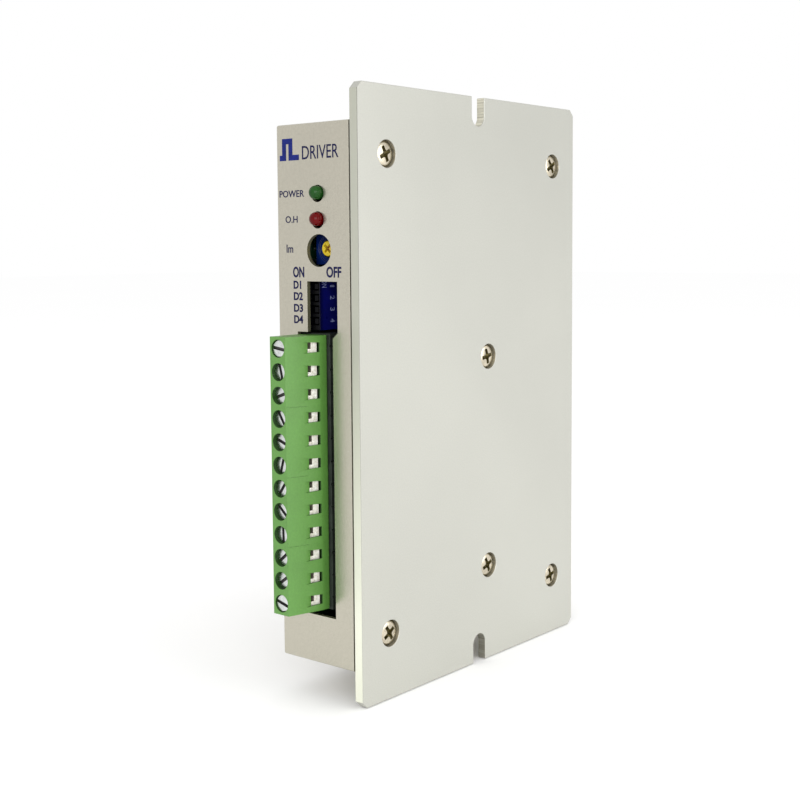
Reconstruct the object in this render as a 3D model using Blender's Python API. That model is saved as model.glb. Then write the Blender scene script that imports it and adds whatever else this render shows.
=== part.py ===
"""Stepper driver module: an aluminium base plate with a folded cover behind it.

Frame: +Z up, the plate's outer (mounting) face is the plane x = 0 and looks towards +X,
and the narrow front wall with the lamps, switches and terminals looks towards -Y.
The origin is the middle of the plate's outer face.
"""

import math

import bmesh
import bpy
from mathutils import Matrix, Vector

MM = 0.001
GAP = 0.3 * MM  # clearance between touching pieces

# Base plate
PLATE_HEIGHT = 135.2 * MM
PLATE_WIDTH = 84.2 * MM
PLATE_THICKNESS = 2.2 * MM
PLATE_CHAMFER = 1.5 * MM
SLOT_WIDTH = 4.8 * MM
SLOT_DEPTH = 6.8 * MM
SLOT_Y = 0.7 * MM
FRONT_Y = -PLATE_WIDTH / 2

# Plate screws: M3, heads sunk in counterbores
CORNER_SCREW_INSET = 9.6 * MM
CORNER_SCREW_Z = 52.8 * MM
CLAMP_SCREW_Y = 4.7 * MM
CLAMP_SCREW_HEIGHTS = (6.4 * MM, -44.6 * MM)
COUNTERBORE_RADIUS = 3.0 * MM
COUNTERBORE_DEPTH = 1.6 * MM
SCREW_HEAD_RADIUS = 2.7 * MM
SCREW_SHANK_RADIUS = 1.4 * MM
SCREW_HOLE_RADIUS = 1.7 * MM
SCREW_TOP_X = -0.4 * MM
SCREW_HEAD_HEIGHT = 0.9 * MM
SCREW_DOME_HEIGHT = 0.5 * MM
SCREW_DOME_RADIUS = 1.89 * MM
SCREW_DOME_STEP = 0.15 * MM
CROSS_ARM = 1.4 * MM
CROSS_HALF_WIDTH = 0.3 * MM
CROSS_DEPTH = 0.65 * MM
CORNER_SCREW_LENGTH = 5.0 * MM
CLAMP_SCREW_LENGTH = 9.6 * MM

# Cover
COVER_HEIGHT = 119.4 * MM
COVER_DEPTH = 21.5 * MM
SHEET = 1.0 * MM
FLANGE_WIDTH = 12.0 * MM
FLANGE_RELIEF = 0.8 * MM
FLANGE_CUT_X = -PLATE_THICKNESS - GAP - 1.5 * SHEET
COVER_RIM_X = -PLATE_THICKNESS - GAP
COVER_BACK_X = COVER_RIM_X - COVER_DEPTH
PANEL_INNER_Y = FRONT_Y + SHEET

# Circuit board, parallel to the plate, parts on its +X side
BOARD_FACE_X = -19.0 * MM
BOARD_THICKNESS = 1.6 * MM
BOARD_HEIGHT = 115.0 * MM
BOARD_FRONT_Y = PANEL_INNER_Y + 0.6 * MM
BOARD_BACK_Y = PLATE_WIDTH / 2 - SHEET - 1.0 * MM
SUPPORT_Y = 36.0 * MM
SUPPORT_Z = 54.0 * MM
SUPPORT_HOLE_RADIUS = 1.7 * MM
SUPPORT_FOOT_RADIUS = 4.0 * MM
SUPPORT_FOOT_HEIGHT = 0.7 * MM
SUPPORT_POST_RADIUS = 2.6 * MM
SUPPORT_CATCH_RADIUS = 1.9 * MM
SUPPORT_CATCH_HEIGHT = 1.4 * MM
PART_SEAT_X = BOARD_FACE_X + GAP

# Front panel items, from top to bottom
LED_X = -11.7 * MM
LED_HEIGHTS = {"led_green": 44.6 * MM, "led_red": 38.9 * MM}
LED_RADIUS = 1.5 * MM
LED_HOLE_RADIUS = 1.85 * MM
LED_HOLE_DROP = 0.2 * MM
LED_PROUD = 2.0 * MM
LED_RIM = (3.2 * MM, 4.2 * MM)
LED_RIM_RADIUS = 1.9 * MM
LED_LEG_HALF = 0.25 * MM
LED_LEG_PITCH = 1.27 * MM
LED_LEG_BENDS = (2.2 * MM, 1.0 * MM)
TRIMMER_X = -11.35 * MM
TRIMMER_Z = 32.5 * MM
TRIMMER_HOLE_CENTRE = (-11.45 * MM, 32.1 * MM)
TRIMMER_HOLE_RADIUS = 3.55 * MM
TRIMMER_RECESS = 3.0 * MM
TRIMMER_WIDTH = 7.4 * MM
TRIMMER_HEIGHT = 7.0 * MM
TRIMMER_DEPTH = 4.6 * MM
TRIMMER_POCKET_DEPTH = 1.8 * MM
TRIMMER_PIN_HALF = 0.3 * MM
TRIMMER_PINS = ((1.5 * MM, -2.54 * MM), (3.3 * MM, 0), (1.5 * MM, 2.54 * MM))
ROTOR_RADIUS = 1.65 * MM
ROTOR_PROUD = 0.4 * MM
ROTOR_LENGTH = 1.9 * MM
ROTOR_EDGE = 0.2 * MM
ROTOR_CROSS_ARM = 1.2 * MM
ROTOR_CROSS_DEPTH = 0.7 * MM
DIP_PITCH = 2.54 * MM
DIP_MIDDLE_Z = 20.45 * MM
DIP_TOP_X = -12.7 * MM
DIP_LENGTH = 11.7 * MM
DIP_DEPTH = 9.9 * MM
DIP_FRONT_Y = PANEL_INNER_Y + 0.45 * MM
DIP_PIVOT_X = -14.4 * MM
DIP_PIVOT_Y = DIP_FRONT_Y + 3.35 * MM
DIP_LEVER_REACH = 3.6 * MM
DIP_LEVER_WIDTH = 1.1 * MM
DIP_LEVER_HALF_THICKNESS = 0.5 * MM
DIP_LEVER_TIP = 0.3 * MM
DIP_LEVER_SWING = math.radians(22)
DIP_HUB_RADIUS = 1.1 * MM
DIP_SLOT_WIDTH = 1.7 * MM
DIP_SLOT_HALF_HEIGHT = 1.4 * MM
WINDOW_X = (-15.1 * MM, -6.2 * MM)
WINDOW_TOP_Z = 25.4 * MM
CUTOUT_X = (-18.15 * MM, -7.65 * MM)
CUTOUT_Z = (-48.8 * MM, 14.3 * MM)
CUTOUT_CORNER = 1.2 * MM

# Pluggable terminal block
POLES = 12
PITCH = 5.08 * MM
FIRST_POLE_Z = 11.15 * MM
PLUG_LENGTH = POLES * PITCH
PLUG_TOP_Z = FIRST_POLE_Z + PITCH / 2
PLUG_FRONT_Y = FRONT_Y - 8.8 * MM
PLUG_SHOULDER_Y = FRONT_Y + 1.6 * MM
PLUG_BACK_X = -18.0 * MM
PLUG_CORNER_X = -13.45 * MM
PLUG_SHOULDER_X = -10.7 * MM
PLUG_SLANT = (PLUG_SHOULDER_X - PLUG_CORNER_X) / (PLUG_SHOULDER_Y - PLUG_FRONT_Y)
NOSE_X = (-17.4 * MM, -11.7 * MM)
NOSE_LENGTH = 7.8 * MM
NOSE_MARGIN = 0.9 * MM
POLE_X = -15.65 * MM
POLE_HOLE_RADIUS = 1.95 * MM
POLE_HEAD_RADIUS = 1.65 * MM
POLE_HEAD_SINK = 0.9 * MM
HIGH_POLE_HEAD_SINK = 0.3 * MM
HIGH_POLES = (1, 12)  # the end screws stand further out than the others
POLE_HEAD_HEIGHT = 1.0 * MM
POLE_HEAD_EDGE = 0.15 * MM
POLE_SLOT_DEPTH = 0.6 * MM
POLE_SLOT_HALF_WIDTH = 0.3 * MM
POLE_SHANK_RADIUS = 1.0 * MM
POLE_SCREW_LENGTH = 4.1 * MM
CHAMBER_Y = (PLUG_FRONT_Y + 1.8 * MM, PLUG_FRONT_Y + 9.9 * MM)
CHAMBER_BACK_X = -17.5 * MM
CHAMBER_HEIGHT = 4.2 * MM
CHAMBER_SKIN = 0.35 * MM
CLAMP_Y = (PLUG_FRONT_Y + 3.1 * MM, PLUG_FRONT_Y + 8.3 * MM)
CLAMP_BACK_X = -17.2 * MM
CLAMP_HEIGHT = 3.6 * MM
CLAMP_CLEARANCE = 0.4 * MM
CLAMP_FRONT_WALL = 0.8 * MM
CLAMP_BACK_WALL = 1.6 * MM
CLAMP_WINDOW_HEIGHT = 2.4 * MM
CLAMP_SCREW_HOLE_RADIUS = 1.3 * MM
ENTRY_Y = (PLUG_FRONT_Y + 5.05 * MM, PLUG_FRONT_Y + 8.65 * MM)
ENTRY_HEIGHT = 2.1 * MM

# Header behind the plug
HEADER_X = (PART_SEAT_X, -10.25 * MM)
HEADER_Y = (FRONT_Y + 1.9 * MM, FRONT_Y + 12.0 * MM)
HEADER_WALL = 1.0 * MM
HEADER_FLOOR = 1.5 * MM
PIN_SIZE = 1.0 * MM
PIN_X = -14.55 * MM
PIN_FRONT_Y = FRONT_Y + 3.2 * MM
PIN_BEND_Y = FRONT_Y + 14.0 * MM
SOCKET_SIZE = 1.6 * MM

# Power stage
DEVICE_WIDTH = 10.2 * MM
DEVICE_SPACING = 10.8 * MM
DEVICE_COUNT = 4
DEVICE_LENGTH = 15.5 * MM
DEVICE_THICKNESS = 4.5 * MM
DEVICE_LEG_DEPTH = 1.8 * MM
DEVICE_LEG_THICKNESS = 0.5 * MM
DEVICE_LEG_HALF_WIDTH = 0.4 * MM
DEVICE_LEG_PITCH = 2.54 * MM
DEVICE_LEG_REACH = 2.2 * MM
PAD_THICKNESS = 0.5 * MM
CLAMP_BAR_WIDTH = 9.0 * MM
CLAMP_BAR_THICKNESS = 3.0 * MM
CLAMP_BAR_OVERHANG = 5.0 * MM
DEVICE_MIDDLE_Z = (CLAMP_SCREW_HEIGHTS[0] + CLAMP_SCREW_HEIGHTS[1]) / 2
PAD_X = -PLATE_THICKNESS - GAP
DEVICE_X = PAD_X - PAD_THICKNESS - GAP
CLAMP_BAR_X = DEVICE_X - DEVICE_THICKNESS - GAP

# Electronics on the board
CAPACITOR_RADIUS = 6.25 * MM
CAPACITOR_LENGTH = 25.0 * MM
CAPACITOR_EDGE = 0.7 * MM
CAPACITOR_GROOVE_Y = (2.2 * MM, 2.8 * MM, 3.4 * MM)
CAPACITOR_GROOVE_DEPTH = 0.6 * MM
CAPACITOR_Y = 10.0 * MM
CAPACITOR_HEIGHTS = (30.0 * MM, 45.0 * MM)
CHIP_SIZE = 14.0 * MM
CHIP_HEIGHT = 2.5 * MM
CHIP_CORNER = 1.2 * MM
CHIP_PLACE = (-8.0 * MM, 30.0 * MM)
OPTO_Y = -20.0 * MM
OPTO_HEIGHTS = (-4.0 * MM, -16.0 * MM, -28.0 * MM)
OPTO_SIZE = (6.4 * MM, 7.2 * MM, 3.5 * MM)
OPTO_NOTCH_RADIUS = 0.8 * MM

AXIS_TURNS = {
    "X": Matrix.Rotation(math.radians(90), 4, "Y"),
    "Y": Matrix.Rotation(math.radians(-90), 4, "X"),
    "Z": Matrix.Identity(4),
}


def clear_scene():
    for old in list(bpy.data.objects):
        bpy.data.objects.remove(old, do_unlink=True)


def make_material(name, colour, roughness, metallic=0.0):
    material = bpy.data.materials.new(name)
    material.use_nodes = True
    shader = material.node_tree.nodes["Principled BSDF"]
    shader.inputs["Base Color"].default_value = (*colour, 1.0)
    shader.inputs["Roughness"].default_value = roughness
    shader.inputs["Metallic"].default_value = metallic
    return material


def finish_mesh(mesh_bm, name):
    """Weld, turn every face outwards and hand the mesh over."""
    bmesh.ops.remove_doubles(mesh_bm, verts=mesh_bm.verts, dist=1e-6)
    bmesh.ops.recalc_face_normals(mesh_bm, faces=mesh_bm.faces)
    mesh = bpy.data.meshes.new(name)
    mesh_bm.to_mesh(mesh)
    mesh_bm.free()
    return mesh


def prism(points, axis, low, high, into=None):
    """A polygon drawn in the two other axes, in X, Y, Z order, pulled from low to high along axis."""
    shape = into or bmesh.new()
    index = "XYZ".index(axis)
    corners = []
    for first, second in points:
        place = [first, second]
        place.insert(index, low)
        corners.append(shape.verts.new(place))
    base = shape.faces.new(corners)
    pulled = bmesh.ops.extrude_face_region(shape, geom=[base])
    moved = [item for item in pulled["geom"] if isinstance(item, bmesh.types.BMVert)]
    step = Vector((0, 0, 0))
    step[index] = high - low
    bmesh.ops.translate(shape, verts=moved, vec=step)
    return shape


def block(x_span, y_span, z_span, into=None):
    corners = [(y_span[0], z_span[0]), (y_span[1], z_span[0]), (y_span[1], z_span[1]), (y_span[0], z_span[1])]
    return prism(corners, "X", x_span[0], x_span[1], into)


def arc(centre, radius, start_degrees, end_degrees, steps):
    """Points on a circular arc, ends included."""
    points = []
    for step in range(steps + 1):
        angle = math.radians(start_degrees + (end_degrees - start_degrees) * step / steps)
        points.append((centre[0] + radius * math.cos(angle), centre[1] + radius * math.sin(angle)))
    return points


def circle(centre, radius, sides):
    return arc(centre, radius, 0, 360, sides)[:-1]


def turned(profile, axis="Z", sides=20, into=None):
    """Spin (radius, height) points around an axis; a radius of 0 closes an end on the axis."""
    shape = into or bmesh.new()
    turn = AXIS_TURNS[axis]
    rings = []
    for radius, height in profile:
        if radius == 0:
            rings.append([shape.verts.new(turn @ Vector((0, 0, height)))])
            continue
        ring = [shape.verts.new(turn @ Vector((x, y, height))) for x, y in circle((0, 0), radius, sides)]
        rings.append(ring)
    for lower, upper in zip(rings, rings[1:]):
        for side in range(sides):
            following = (side + 1) % sides
            corners = [lower[side % len(lower)], lower[following % len(lower)]]
            corners += [upper[following % len(upper)], upper[side % len(upper)]]
            shape.faces.new(list(dict.fromkeys(corners)))
    return shape


def add_piece(name, shape, material, location=(0, 0, 0), smooth=False):
    """Make a named object from a bmesh or from a mesh that other pieces share."""
    mesh = shape if isinstance(shape, bpy.types.Mesh) else finish_mesh(shape, name)
    piece = bpy.data.objects.new(name, mesh)
    bpy.context.scene.collection.objects.link(piece)
    piece.location = location
    if not mesh.materials:
        mesh.materials.append(material)
    if smooth:
        mesh.shade_smooth()
        mesh.set_sharp_from_angle(angle=math.radians(35))
    return piece


def add_boolean(piece, shape, operation, label):
    """Cut a helper shape from a piece, or join one to it."""
    helper = bpy.data.objects.new(f"{piece.name}_{label}", finish_mesh(shape, f"{piece.name}_{label}"))
    bpy.context.scene.collection.objects.link(helper)
    helper.location = piece.location
    helper.hide_render = True
    helper.display_type = "WIRE"
    modifier = piece.modifiers.new(label, "BOOLEAN")
    modifier.operation = operation
    modifier.solver = "EXACT"
    modifier.object = helper
    return helper


def cut(piece, shape, label):
    return add_boolean(piece, shape, "DIFFERENCE", label)


def join(piece, shape, label):
    return add_boolean(piece, shape, "UNION", label)


def bake_modifiers(piece):
    """Turn a piece's modifiers into plain mesh, so that copies can share it."""
    helpers = [modifier.object for modifier in piece.modifiers]
    bpy.context.view_layer.update()
    finished = piece.evaluated_get(bpy.context.evaluated_depsgraph_get())
    piece.data = bpy.data.meshes.new_from_object(finished)
    piece.modifiers.clear()
    for helper in helpers:
        bpy.data.objects.remove(helper, do_unlink=True)


def screw_places():
    corner_y = PLATE_WIDTH / 2 - CORNER_SCREW_INSET
    corners = [(y, z) for z in (CORNER_SCREW_Z, -CORNER_SCREW_Z) for y in (-corner_y, corner_y)]
    clamps = [(CLAMP_SCREW_Y, z) for z in CLAMP_SCREW_HEIGHTS]
    return corners, clamps


def pole_heights():
    return [FIRST_POLE_Z - PITCH * pole for pole in range(POLES)]


def make_base_plate(material):
    half_width = PLATE_WIDTH / 2
    half_height = PLATE_HEIGHT / 2
    slot_end = half_height - SLOT_DEPTH + SLOT_WIDTH / 2
    half_slot = SLOT_WIDTH / 2
    top = [(half_width, half_height - PLATE_CHAMFER), (half_width - PLATE_CHAMFER, half_height)]
    top += [(SLOT_Y + half_slot, half_height)]
    top += arc((SLOT_Y, slot_end), half_slot, 360, 180, 12)
    top += [(SLOT_Y - half_slot, half_height)]
    top += [(-half_width + PLATE_CHAMFER, half_height), (-half_width, half_height - PLATE_CHAMFER)]
    outline = top + [(y, -z) for y, z in reversed(top)]
    plate = add_piece("base_plate", prism(outline, "X", -PLATE_THICKNESS, 0), material)
    corners, clamps = screw_places()
    holes = bmesh.new()
    counterbores = bmesh.new()
    for place in corners + clamps:
        prism(circle(place, SCREW_HOLE_RADIUS, 16), "X", -PLATE_THICKNESS - MM, -MM, holes)
        prism(circle(place, COUNTERBORE_RADIUS, 24), "X", -COUNTERBORE_DEPTH, MM, counterbores)
    cut(plate, counterbores, "counterbores")
    cut(plate, holes, "holes")


def panel_window_outline():
    """The stepped opening for the DIP switch and the terminals, in X and Z."""
    return [
        (CUTOUT_X[0], CUTOUT_Z[0]),
        (CUTOUT_X[1], CUTOUT_Z[0]),
        (CUTOUT_X[1], CUTOUT_Z[1] - CUTOUT_CORNER),
        (WINDOW_X[1], CUTOUT_Z[1]),
        (WINDOW_X[1], WINDOW_TOP_Z),
        (WINDOW_X[0], WINDOW_TOP_Z),
        (WINDOW_X[0], CUTOUT_Z[1]),
        (CUTOUT_X[0], CUTOUT_Z[1]),
    ]


def make_cover(material):
    half_height = COVER_HEIGHT / 2
    half_width = PLATE_WIDTH / 2
    inner_y = half_width - SHEET
    inner_z = half_height - SHEET
    body = block((COVER_BACK_X, COVER_RIM_X), (-half_width, half_width), (-half_height, half_height))
    cover = add_piece("cover", body, material)
    cavity = block((COVER_BACK_X + SHEET, COVER_RIM_X - SHEET), (-inner_y, inner_y), (-inner_z, inner_z))
    cut(cover, cavity, "cavity")
    mouth_z = inner_z - FLANGE_WIDTH
    tab_y = inner_y - FLANGE_RELIEF
    quarter = [(inner_y, inner_z), (tab_y, inner_z), (tab_y, mouth_z)]
    mouth = quarter + [(-y, z) for y, z in reversed(quarter)]
    mouth += [(-y, -z) for y, z in quarter] + [(y, -z) for y, z in reversed(quarter)]
    cut(cover, prism(mouth, "X", FLANGE_CUT_X, COVER_RIM_X + MM), "mouth")
    corners, _ = screw_places()
    threads = bmesh.new()
    for place in corners:
        prism(circle(place, SCREW_HOLE_RADIUS, 16), "X", FLANGE_CUT_X, COVER_RIM_X + MM, threads)
    cut(cover, threads, "flange_holes")
    reach = (FRONT_Y - MM, PANEL_INNER_Y + 0.5 * MM)
    openings = prism(panel_window_outline(), "Y", *reach)
    for height in LED_HEIGHTS.values():
        prism(circle((LED_X, height - LED_HOLE_DROP), LED_HOLE_RADIUS, 20), "Y", *reach, openings)
    prism(circle(TRIMMER_HOLE_CENTRE, TRIMMER_HOLE_RADIUS, 32), "Y", *reach, openings)
    cut(cover, openings, "panel_openings")


def make_plate_screws(material):
    """Pan-head screws along X: dome outwards, shank towards -X, cross recess in the dome."""
    corners, clamps = screw_places()
    rows = (("plate", corners, CORNER_SCREW_LENGTH), ("clamp", clamps, CLAMP_SCREW_LENGTH))
    for label, places, length in rows:
        end = -SCREW_HEAD_HEIGHT - length
        profile = [
            (0, end),
            (SCREW_SHANK_RADIUS, end),
            (SCREW_SHANK_RADIUS, -SCREW_HEAD_HEIGHT),
            (SCREW_HEAD_RADIUS, -SCREW_HEAD_HEIGHT),
            (SCREW_HEAD_RADIUS, -SCREW_DOME_HEIGHT),
            (SCREW_DOME_RADIUS, -SCREW_DOME_STEP),
            (0, 0),
        ]
        shared = None
        for number, (y, z) in enumerate(places, 1):
            shape = shared or turned(profile, "X", 16)
            screw = add_piece(f"{label}_screw_{number}", shape, material, (SCREW_TOP_X, y, z), smooth=not shared)
            if shared:
                continue
            cut(screw, cross_recess("X", -CROSS_DEPTH, MM, CROSS_ARM), "recess")
            bake_modifiers(screw)
            shared = screw.data


def cross_recess(axis, low, high, arm):
    """A plus-shaped cutter along an axis."""
    quarter = [(arm, -CROSS_HALF_WIDTH), (arm, CROSS_HALF_WIDTH), (CROSS_HALF_WIDTH, CROSS_HALF_WIDTH)]
    points = []
    for turn in range(4):
        spin = Matrix.Rotation(math.radians(90 * turn), 2)
        points += [tuple(spin @ Vector(point)) for point in quarter]
    return prism(points, axis, low, high)


def make_board(board_material, support_material):
    half = BOARD_HEIGHT / 2
    board_x = (BOARD_FACE_X - BOARD_THICKNESS, BOARD_FACE_X)
    board = add_piece("main_pcb", block(board_x, (BOARD_FRONT_Y, BOARD_BACK_Y), (-half, half)), board_material)
    places = [(y, z) for z in (SUPPORT_Z, -SUPPORT_Z) for y in (-SUPPORT_Y, SUPPORT_Y)]
    holes = bmesh.new()
    for place in places:
        prism(circle(place, SUPPORT_HOLE_RADIUS, 16), "X", board_x[0] - MM, board_x[1] + MM, holes)
    cut(board, holes, "support_holes")
    foot = COVER_BACK_X + SHEET + GAP
    shoulder = board_x[0] - GAP
    catch = BOARD_FACE_X + GAP
    neck = SUPPORT_HOLE_RADIUS - GAP
    profile = [
        (0, 0),
        (SUPPORT_FOOT_RADIUS, 0),
        (SUPPORT_FOOT_RADIUS, SUPPORT_FOOT_HEIGHT),
        (SUPPORT_POST_RADIUS, SUPPORT_FOOT_HEIGHT),
        (SUPPORT_POST_RADIUS, shoulder - foot),
        (neck, shoulder - foot),
        (neck, catch - foot),
        (SUPPORT_CATCH_RADIUS, catch - foot),
        (neck, catch - foot + SUPPORT_CATCH_HEIGHT),
        (0, catch - foot + SUPPORT_CATCH_HEIGHT),
    ]
    shape = turned(profile, "X", 16)
    for number, (y, z) in enumerate(places, 1):
        support = add_piece(f"pcb_support_{number}", shape, support_material, (foot, y, z), smooth=number == 1)
        shape = support.data


def make_leds(materials):
    """A 3 mm lamp with a domed tip, a rim behind the panel and two legs bent down to the board."""
    dome = [(LED_RADIUS * math.sin(angle), LED_RADIUS * (1 - math.cos(angle)) - LED_PROUD)
            for angle in (math.radians(18 * step) for step in range(6))]
    rim_front, rim_back = LED_RIM
    profile = dome + [(LED_RADIUS, rim_front), (LED_RIM_RADIUS, rim_front)]
    profile += [(LED_RIM_RADIUS, rim_back), (0, rim_back)]
    half = LED_LEG_HALF
    drop = PART_SEAT_X - LED_X
    for name, height in LED_HEIGHTS.items():
        led = add_piece(name, turned(profile, "Y", 20), materials[name], (LED_X, FRONT_Y, height), smooth=True)
        legs = bmesh.new()
        for side, bend in zip((1, -1), LED_LEG_BENDS):
            middle = side * LED_LEG_PITCH / 2
            back = rim_back + bend
            path = [(half, rim_back - half), (half, back + half), (drop, back + half), (drop, back - half)]
            path += [(-half, back - half), (-half, rim_back - half)]
            prism(path, "Z", middle - half, middle + half, legs)
        join(led, legs, "legs")


def make_trimmer(body_material, rotor_material):
    """Single-turn trimmer that stands on three pins and faces the panel."""
    front = FRONT_Y + TRIMMER_RECESS
    half_x = TRIMMER_WIDTH / 2
    half_z = TRIMMER_HEIGHT / 2
    pocket_radius = ROTOR_RADIUS + GAP
    shape = block((-half_x, half_x), (0, TRIMMER_DEPTH), (-half_z, half_z))
    body = add_piece("trimmer_body", shape, body_material, (TRIMMER_X, front, TRIMMER_Z))
    cut(body, prism(circle((0, 0), pocket_radius, 24), "Y", -MM, TRIMMER_POCKET_DEPTH), "pocket")
    pins = bmesh.new()
    pin = TRIMMER_PIN_HALF
    for pin_y, pin_z in TRIMMER_PINS:
        pin_x = (PART_SEAT_X - TRIMMER_X, -half_x + pin)
        block(pin_x, (pin_y - pin, pin_y + pin), (pin_z - pin, pin_z + pin), pins)
    join(body, pins, "pins")
    profile = [(0, 0), (ROTOR_RADIUS - ROTOR_EDGE, 0), (ROTOR_RADIUS, ROTOR_EDGE)]
    profile += [(ROTOR_RADIUS, ROTOR_LENGTH), (0, ROTOR_LENGTH)]
    place = (TRIMMER_X, front - ROTOR_PROUD, TRIMMER_Z)
    rotor = add_piece("trimmer_rotor", turned(profile, "Y", 24), rotor_material, place, smooth=True)
    recess = cross_recess("Y", -MM, ROTOR_CROSS_DEPTH, ROTOR_CROSS_ARM)
    cut(rotor, recess, "recess").rotation_euler = (0, math.radians(45), 0)


def dip_heights():
    return [DIP_MIDDLE_Z + DIP_PITCH * (1.5 - number) for number in range(4)]


def make_dip_switch(body_material, lever_material):
    """Right-angle switch: four levers rock in slots in its front face."""
    body_x = (PART_SEAT_X, DIP_TOP_X)
    body_y = (DIP_FRONT_Y, DIP_FRONT_Y + DIP_DEPTH)
    half = DIP_LENGTH / 2
    shape = block(body_x, body_y, (DIP_MIDDLE_Z - half, DIP_MIDDLE_Z + half))
    body = add_piece("dip_body", shape, body_material)
    slots = bmesh.new()
    for height in dip_heights():
        slot_x = (DIP_PIVOT_X - DIP_SLOT_HALF_HEIGHT, DIP_PIVOT_X + DIP_SLOT_HALF_HEIGHT)
        slot_y = (DIP_FRONT_Y - MM, DIP_PIVOT_Y + DIP_HUB_RADIUS + GAP)
        slot_z = (height - DIP_SLOT_WIDTH / 2, height + DIP_SLOT_WIDTH / 2)
        block(slot_x, slot_y, slot_z, slots)
    cut(body, slots, "slots")
    half_arm = DIP_LEVER_HALF_THICKNESS
    tip = DIP_LEVER_TIP
    meet = math.degrees(math.asin(half_arm / DIP_HUB_RADIUS))
    outline = arc((0, 0), DIP_HUB_RADIUS, -90 + meet, 270 - meet, 14)
    outline += [(-half_arm, tip - DIP_LEVER_REACH), (tip - half_arm, -DIP_LEVER_REACH)]
    outline += [(half_arm - tip, -DIP_LEVER_REACH), (half_arm, tip - DIP_LEVER_REACH)]
    tilt = Matrix.Rotation(DIP_LEVER_SWING / 2, 4, "Z")
    half_width = DIP_LEVER_WIDTH / 2
    lever = prism(outline, "Z", -half_width, half_width)
    bmesh.ops.transform(lever, matrix=tilt, verts=lever.verts)
    for number, height in enumerate(dip_heights(), 1):
        place = (DIP_PIVOT_X, DIP_PIVOT_Y, height)
        piece = add_piece(f"dip_lever_{number}", lever, lever_material, place)
        lever = piece.data


def make_header(material):
    """Open-fronted header with a row of pins that bend down to the board."""
    wall_z = (PLUG_TOP_Z - PLUG_LENGTH - GAP, PLUG_TOP_Z + GAP)
    header = add_piece("terminal_header", block(HEADER_X, HEADER_Y, wall_z), material)
    cavity_x = (HEADER_X[0] + HEADER_WALL, HEADER_X[1] - HEADER_WALL)
    cavity_z = (wall_z[0] + HEADER_WALL - 0.1 * MM, wall_z[1] - HEADER_WALL + 0.1 * MM)
    cut(header, block(cavity_x, (HEADER_Y[0] - MM, HEADER_Y[1] - HEADER_FLOOR), cavity_z), "cavity")
    half = PIN_SIZE / 2
    outline = [
        (PIN_X - half, PIN_FRONT_Y),
        (PIN_X + half, PIN_FRONT_Y),
        (PIN_X + half, PIN_BEND_Y),
        (PART_SEAT_X, PIN_BEND_Y),
        (PART_SEAT_X, PIN_BEND_Y - PIN_SIZE),
        (PIN_X - half, PIN_BEND_Y - PIN_SIZE),
    ]
    pins = bmesh.new()
    for height in pole_heights():
        prism(outline, "Z", height - half, height + half, pins)
    join(header, pins, "pins")


def slanted_edge(y, inset):
    """X of a line parallel to the plug's slanted face, inset from it."""
    return PLUG_CORNER_X + PLUG_SLANT * (y - PLUG_FRONT_Y) - inset


def make_plug(material):
    outline = [
        (PLUG_BACK_X, PLUG_FRONT_Y),
        (PLUG_CORNER_X, PLUG_FRONT_Y),
        (PLUG_SHOULDER_X, PLUG_SHOULDER_Y),
        (PLUG_BACK_X, PLUG_SHOULDER_Y),
    ]
    plug = add_piece("plug_housing", prism(outline, "Z", PLUG_TOP_Z - PLUG_LENGTH, PLUG_TOP_Z), material)
    overlap = 0.2 * MM
    nose_y = (PLUG_SHOULDER_Y - overlap, PLUG_SHOULDER_Y + NOSE_LENGTH)
    nose_z = (PLUG_TOP_Z - PLUG_LENGTH + NOSE_MARGIN, PLUG_TOP_Z - NOSE_MARGIN)
    join(plug, block(NOSE_X, nose_y, nose_z), "nose")
    chamber = [
        (CHAMBER_BACK_X, CHAMBER_Y[0]),
        (slanted_edge(CHAMBER_Y[0], CHAMBER_SKIN), CHAMBER_Y[0]),
        (slanted_edge(CHAMBER_Y[1], CHAMBER_SKIN), CHAMBER_Y[1]),
        (CHAMBER_BACK_X, CHAMBER_Y[1]),
    ]
    chambers = bmesh.new()
    screw_holes = bmesh.new()
    entries = bmesh.new()
    sockets = bmesh.new()
    half_socket = SOCKET_SIZE / 2
    for height in pole_heights():
        prism(chamber, "Z", height - CHAMBER_HEIGHT / 2, height + CHAMBER_HEIGHT / 2, chambers)
        hole_y = (PLUG_FRONT_Y - MM, CHAMBER_Y[0] + overlap)
        prism(circle((POLE_X, height), POLE_HOLE_RADIUS, 16), "Y", *hole_y, screw_holes)
        entry_x = (slanted_edge(ENTRY_Y[0], CHAMBER_SKIN + overlap), PLUG_SHOULDER_X + MM)
        block(entry_x, ENTRY_Y, (height - ENTRY_HEIGHT / 2, height + ENTRY_HEIGHT / 2), entries)
        socket_x = (PIN_X - half_socket, PIN_X + half_socket)
        socket_y = (CHAMBER_Y[1] - overlap, nose_y[1] + MM)
        block(socket_x, socket_y, (height - half_socket, height + half_socket), sockets)
    cut(plug, chambers, "chambers")
    cut(plug, screw_holes, "screw_holes")
    cut(plug, entries, "wire_entries")
    cut(plug, sockets, "pin_sockets")


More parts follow.
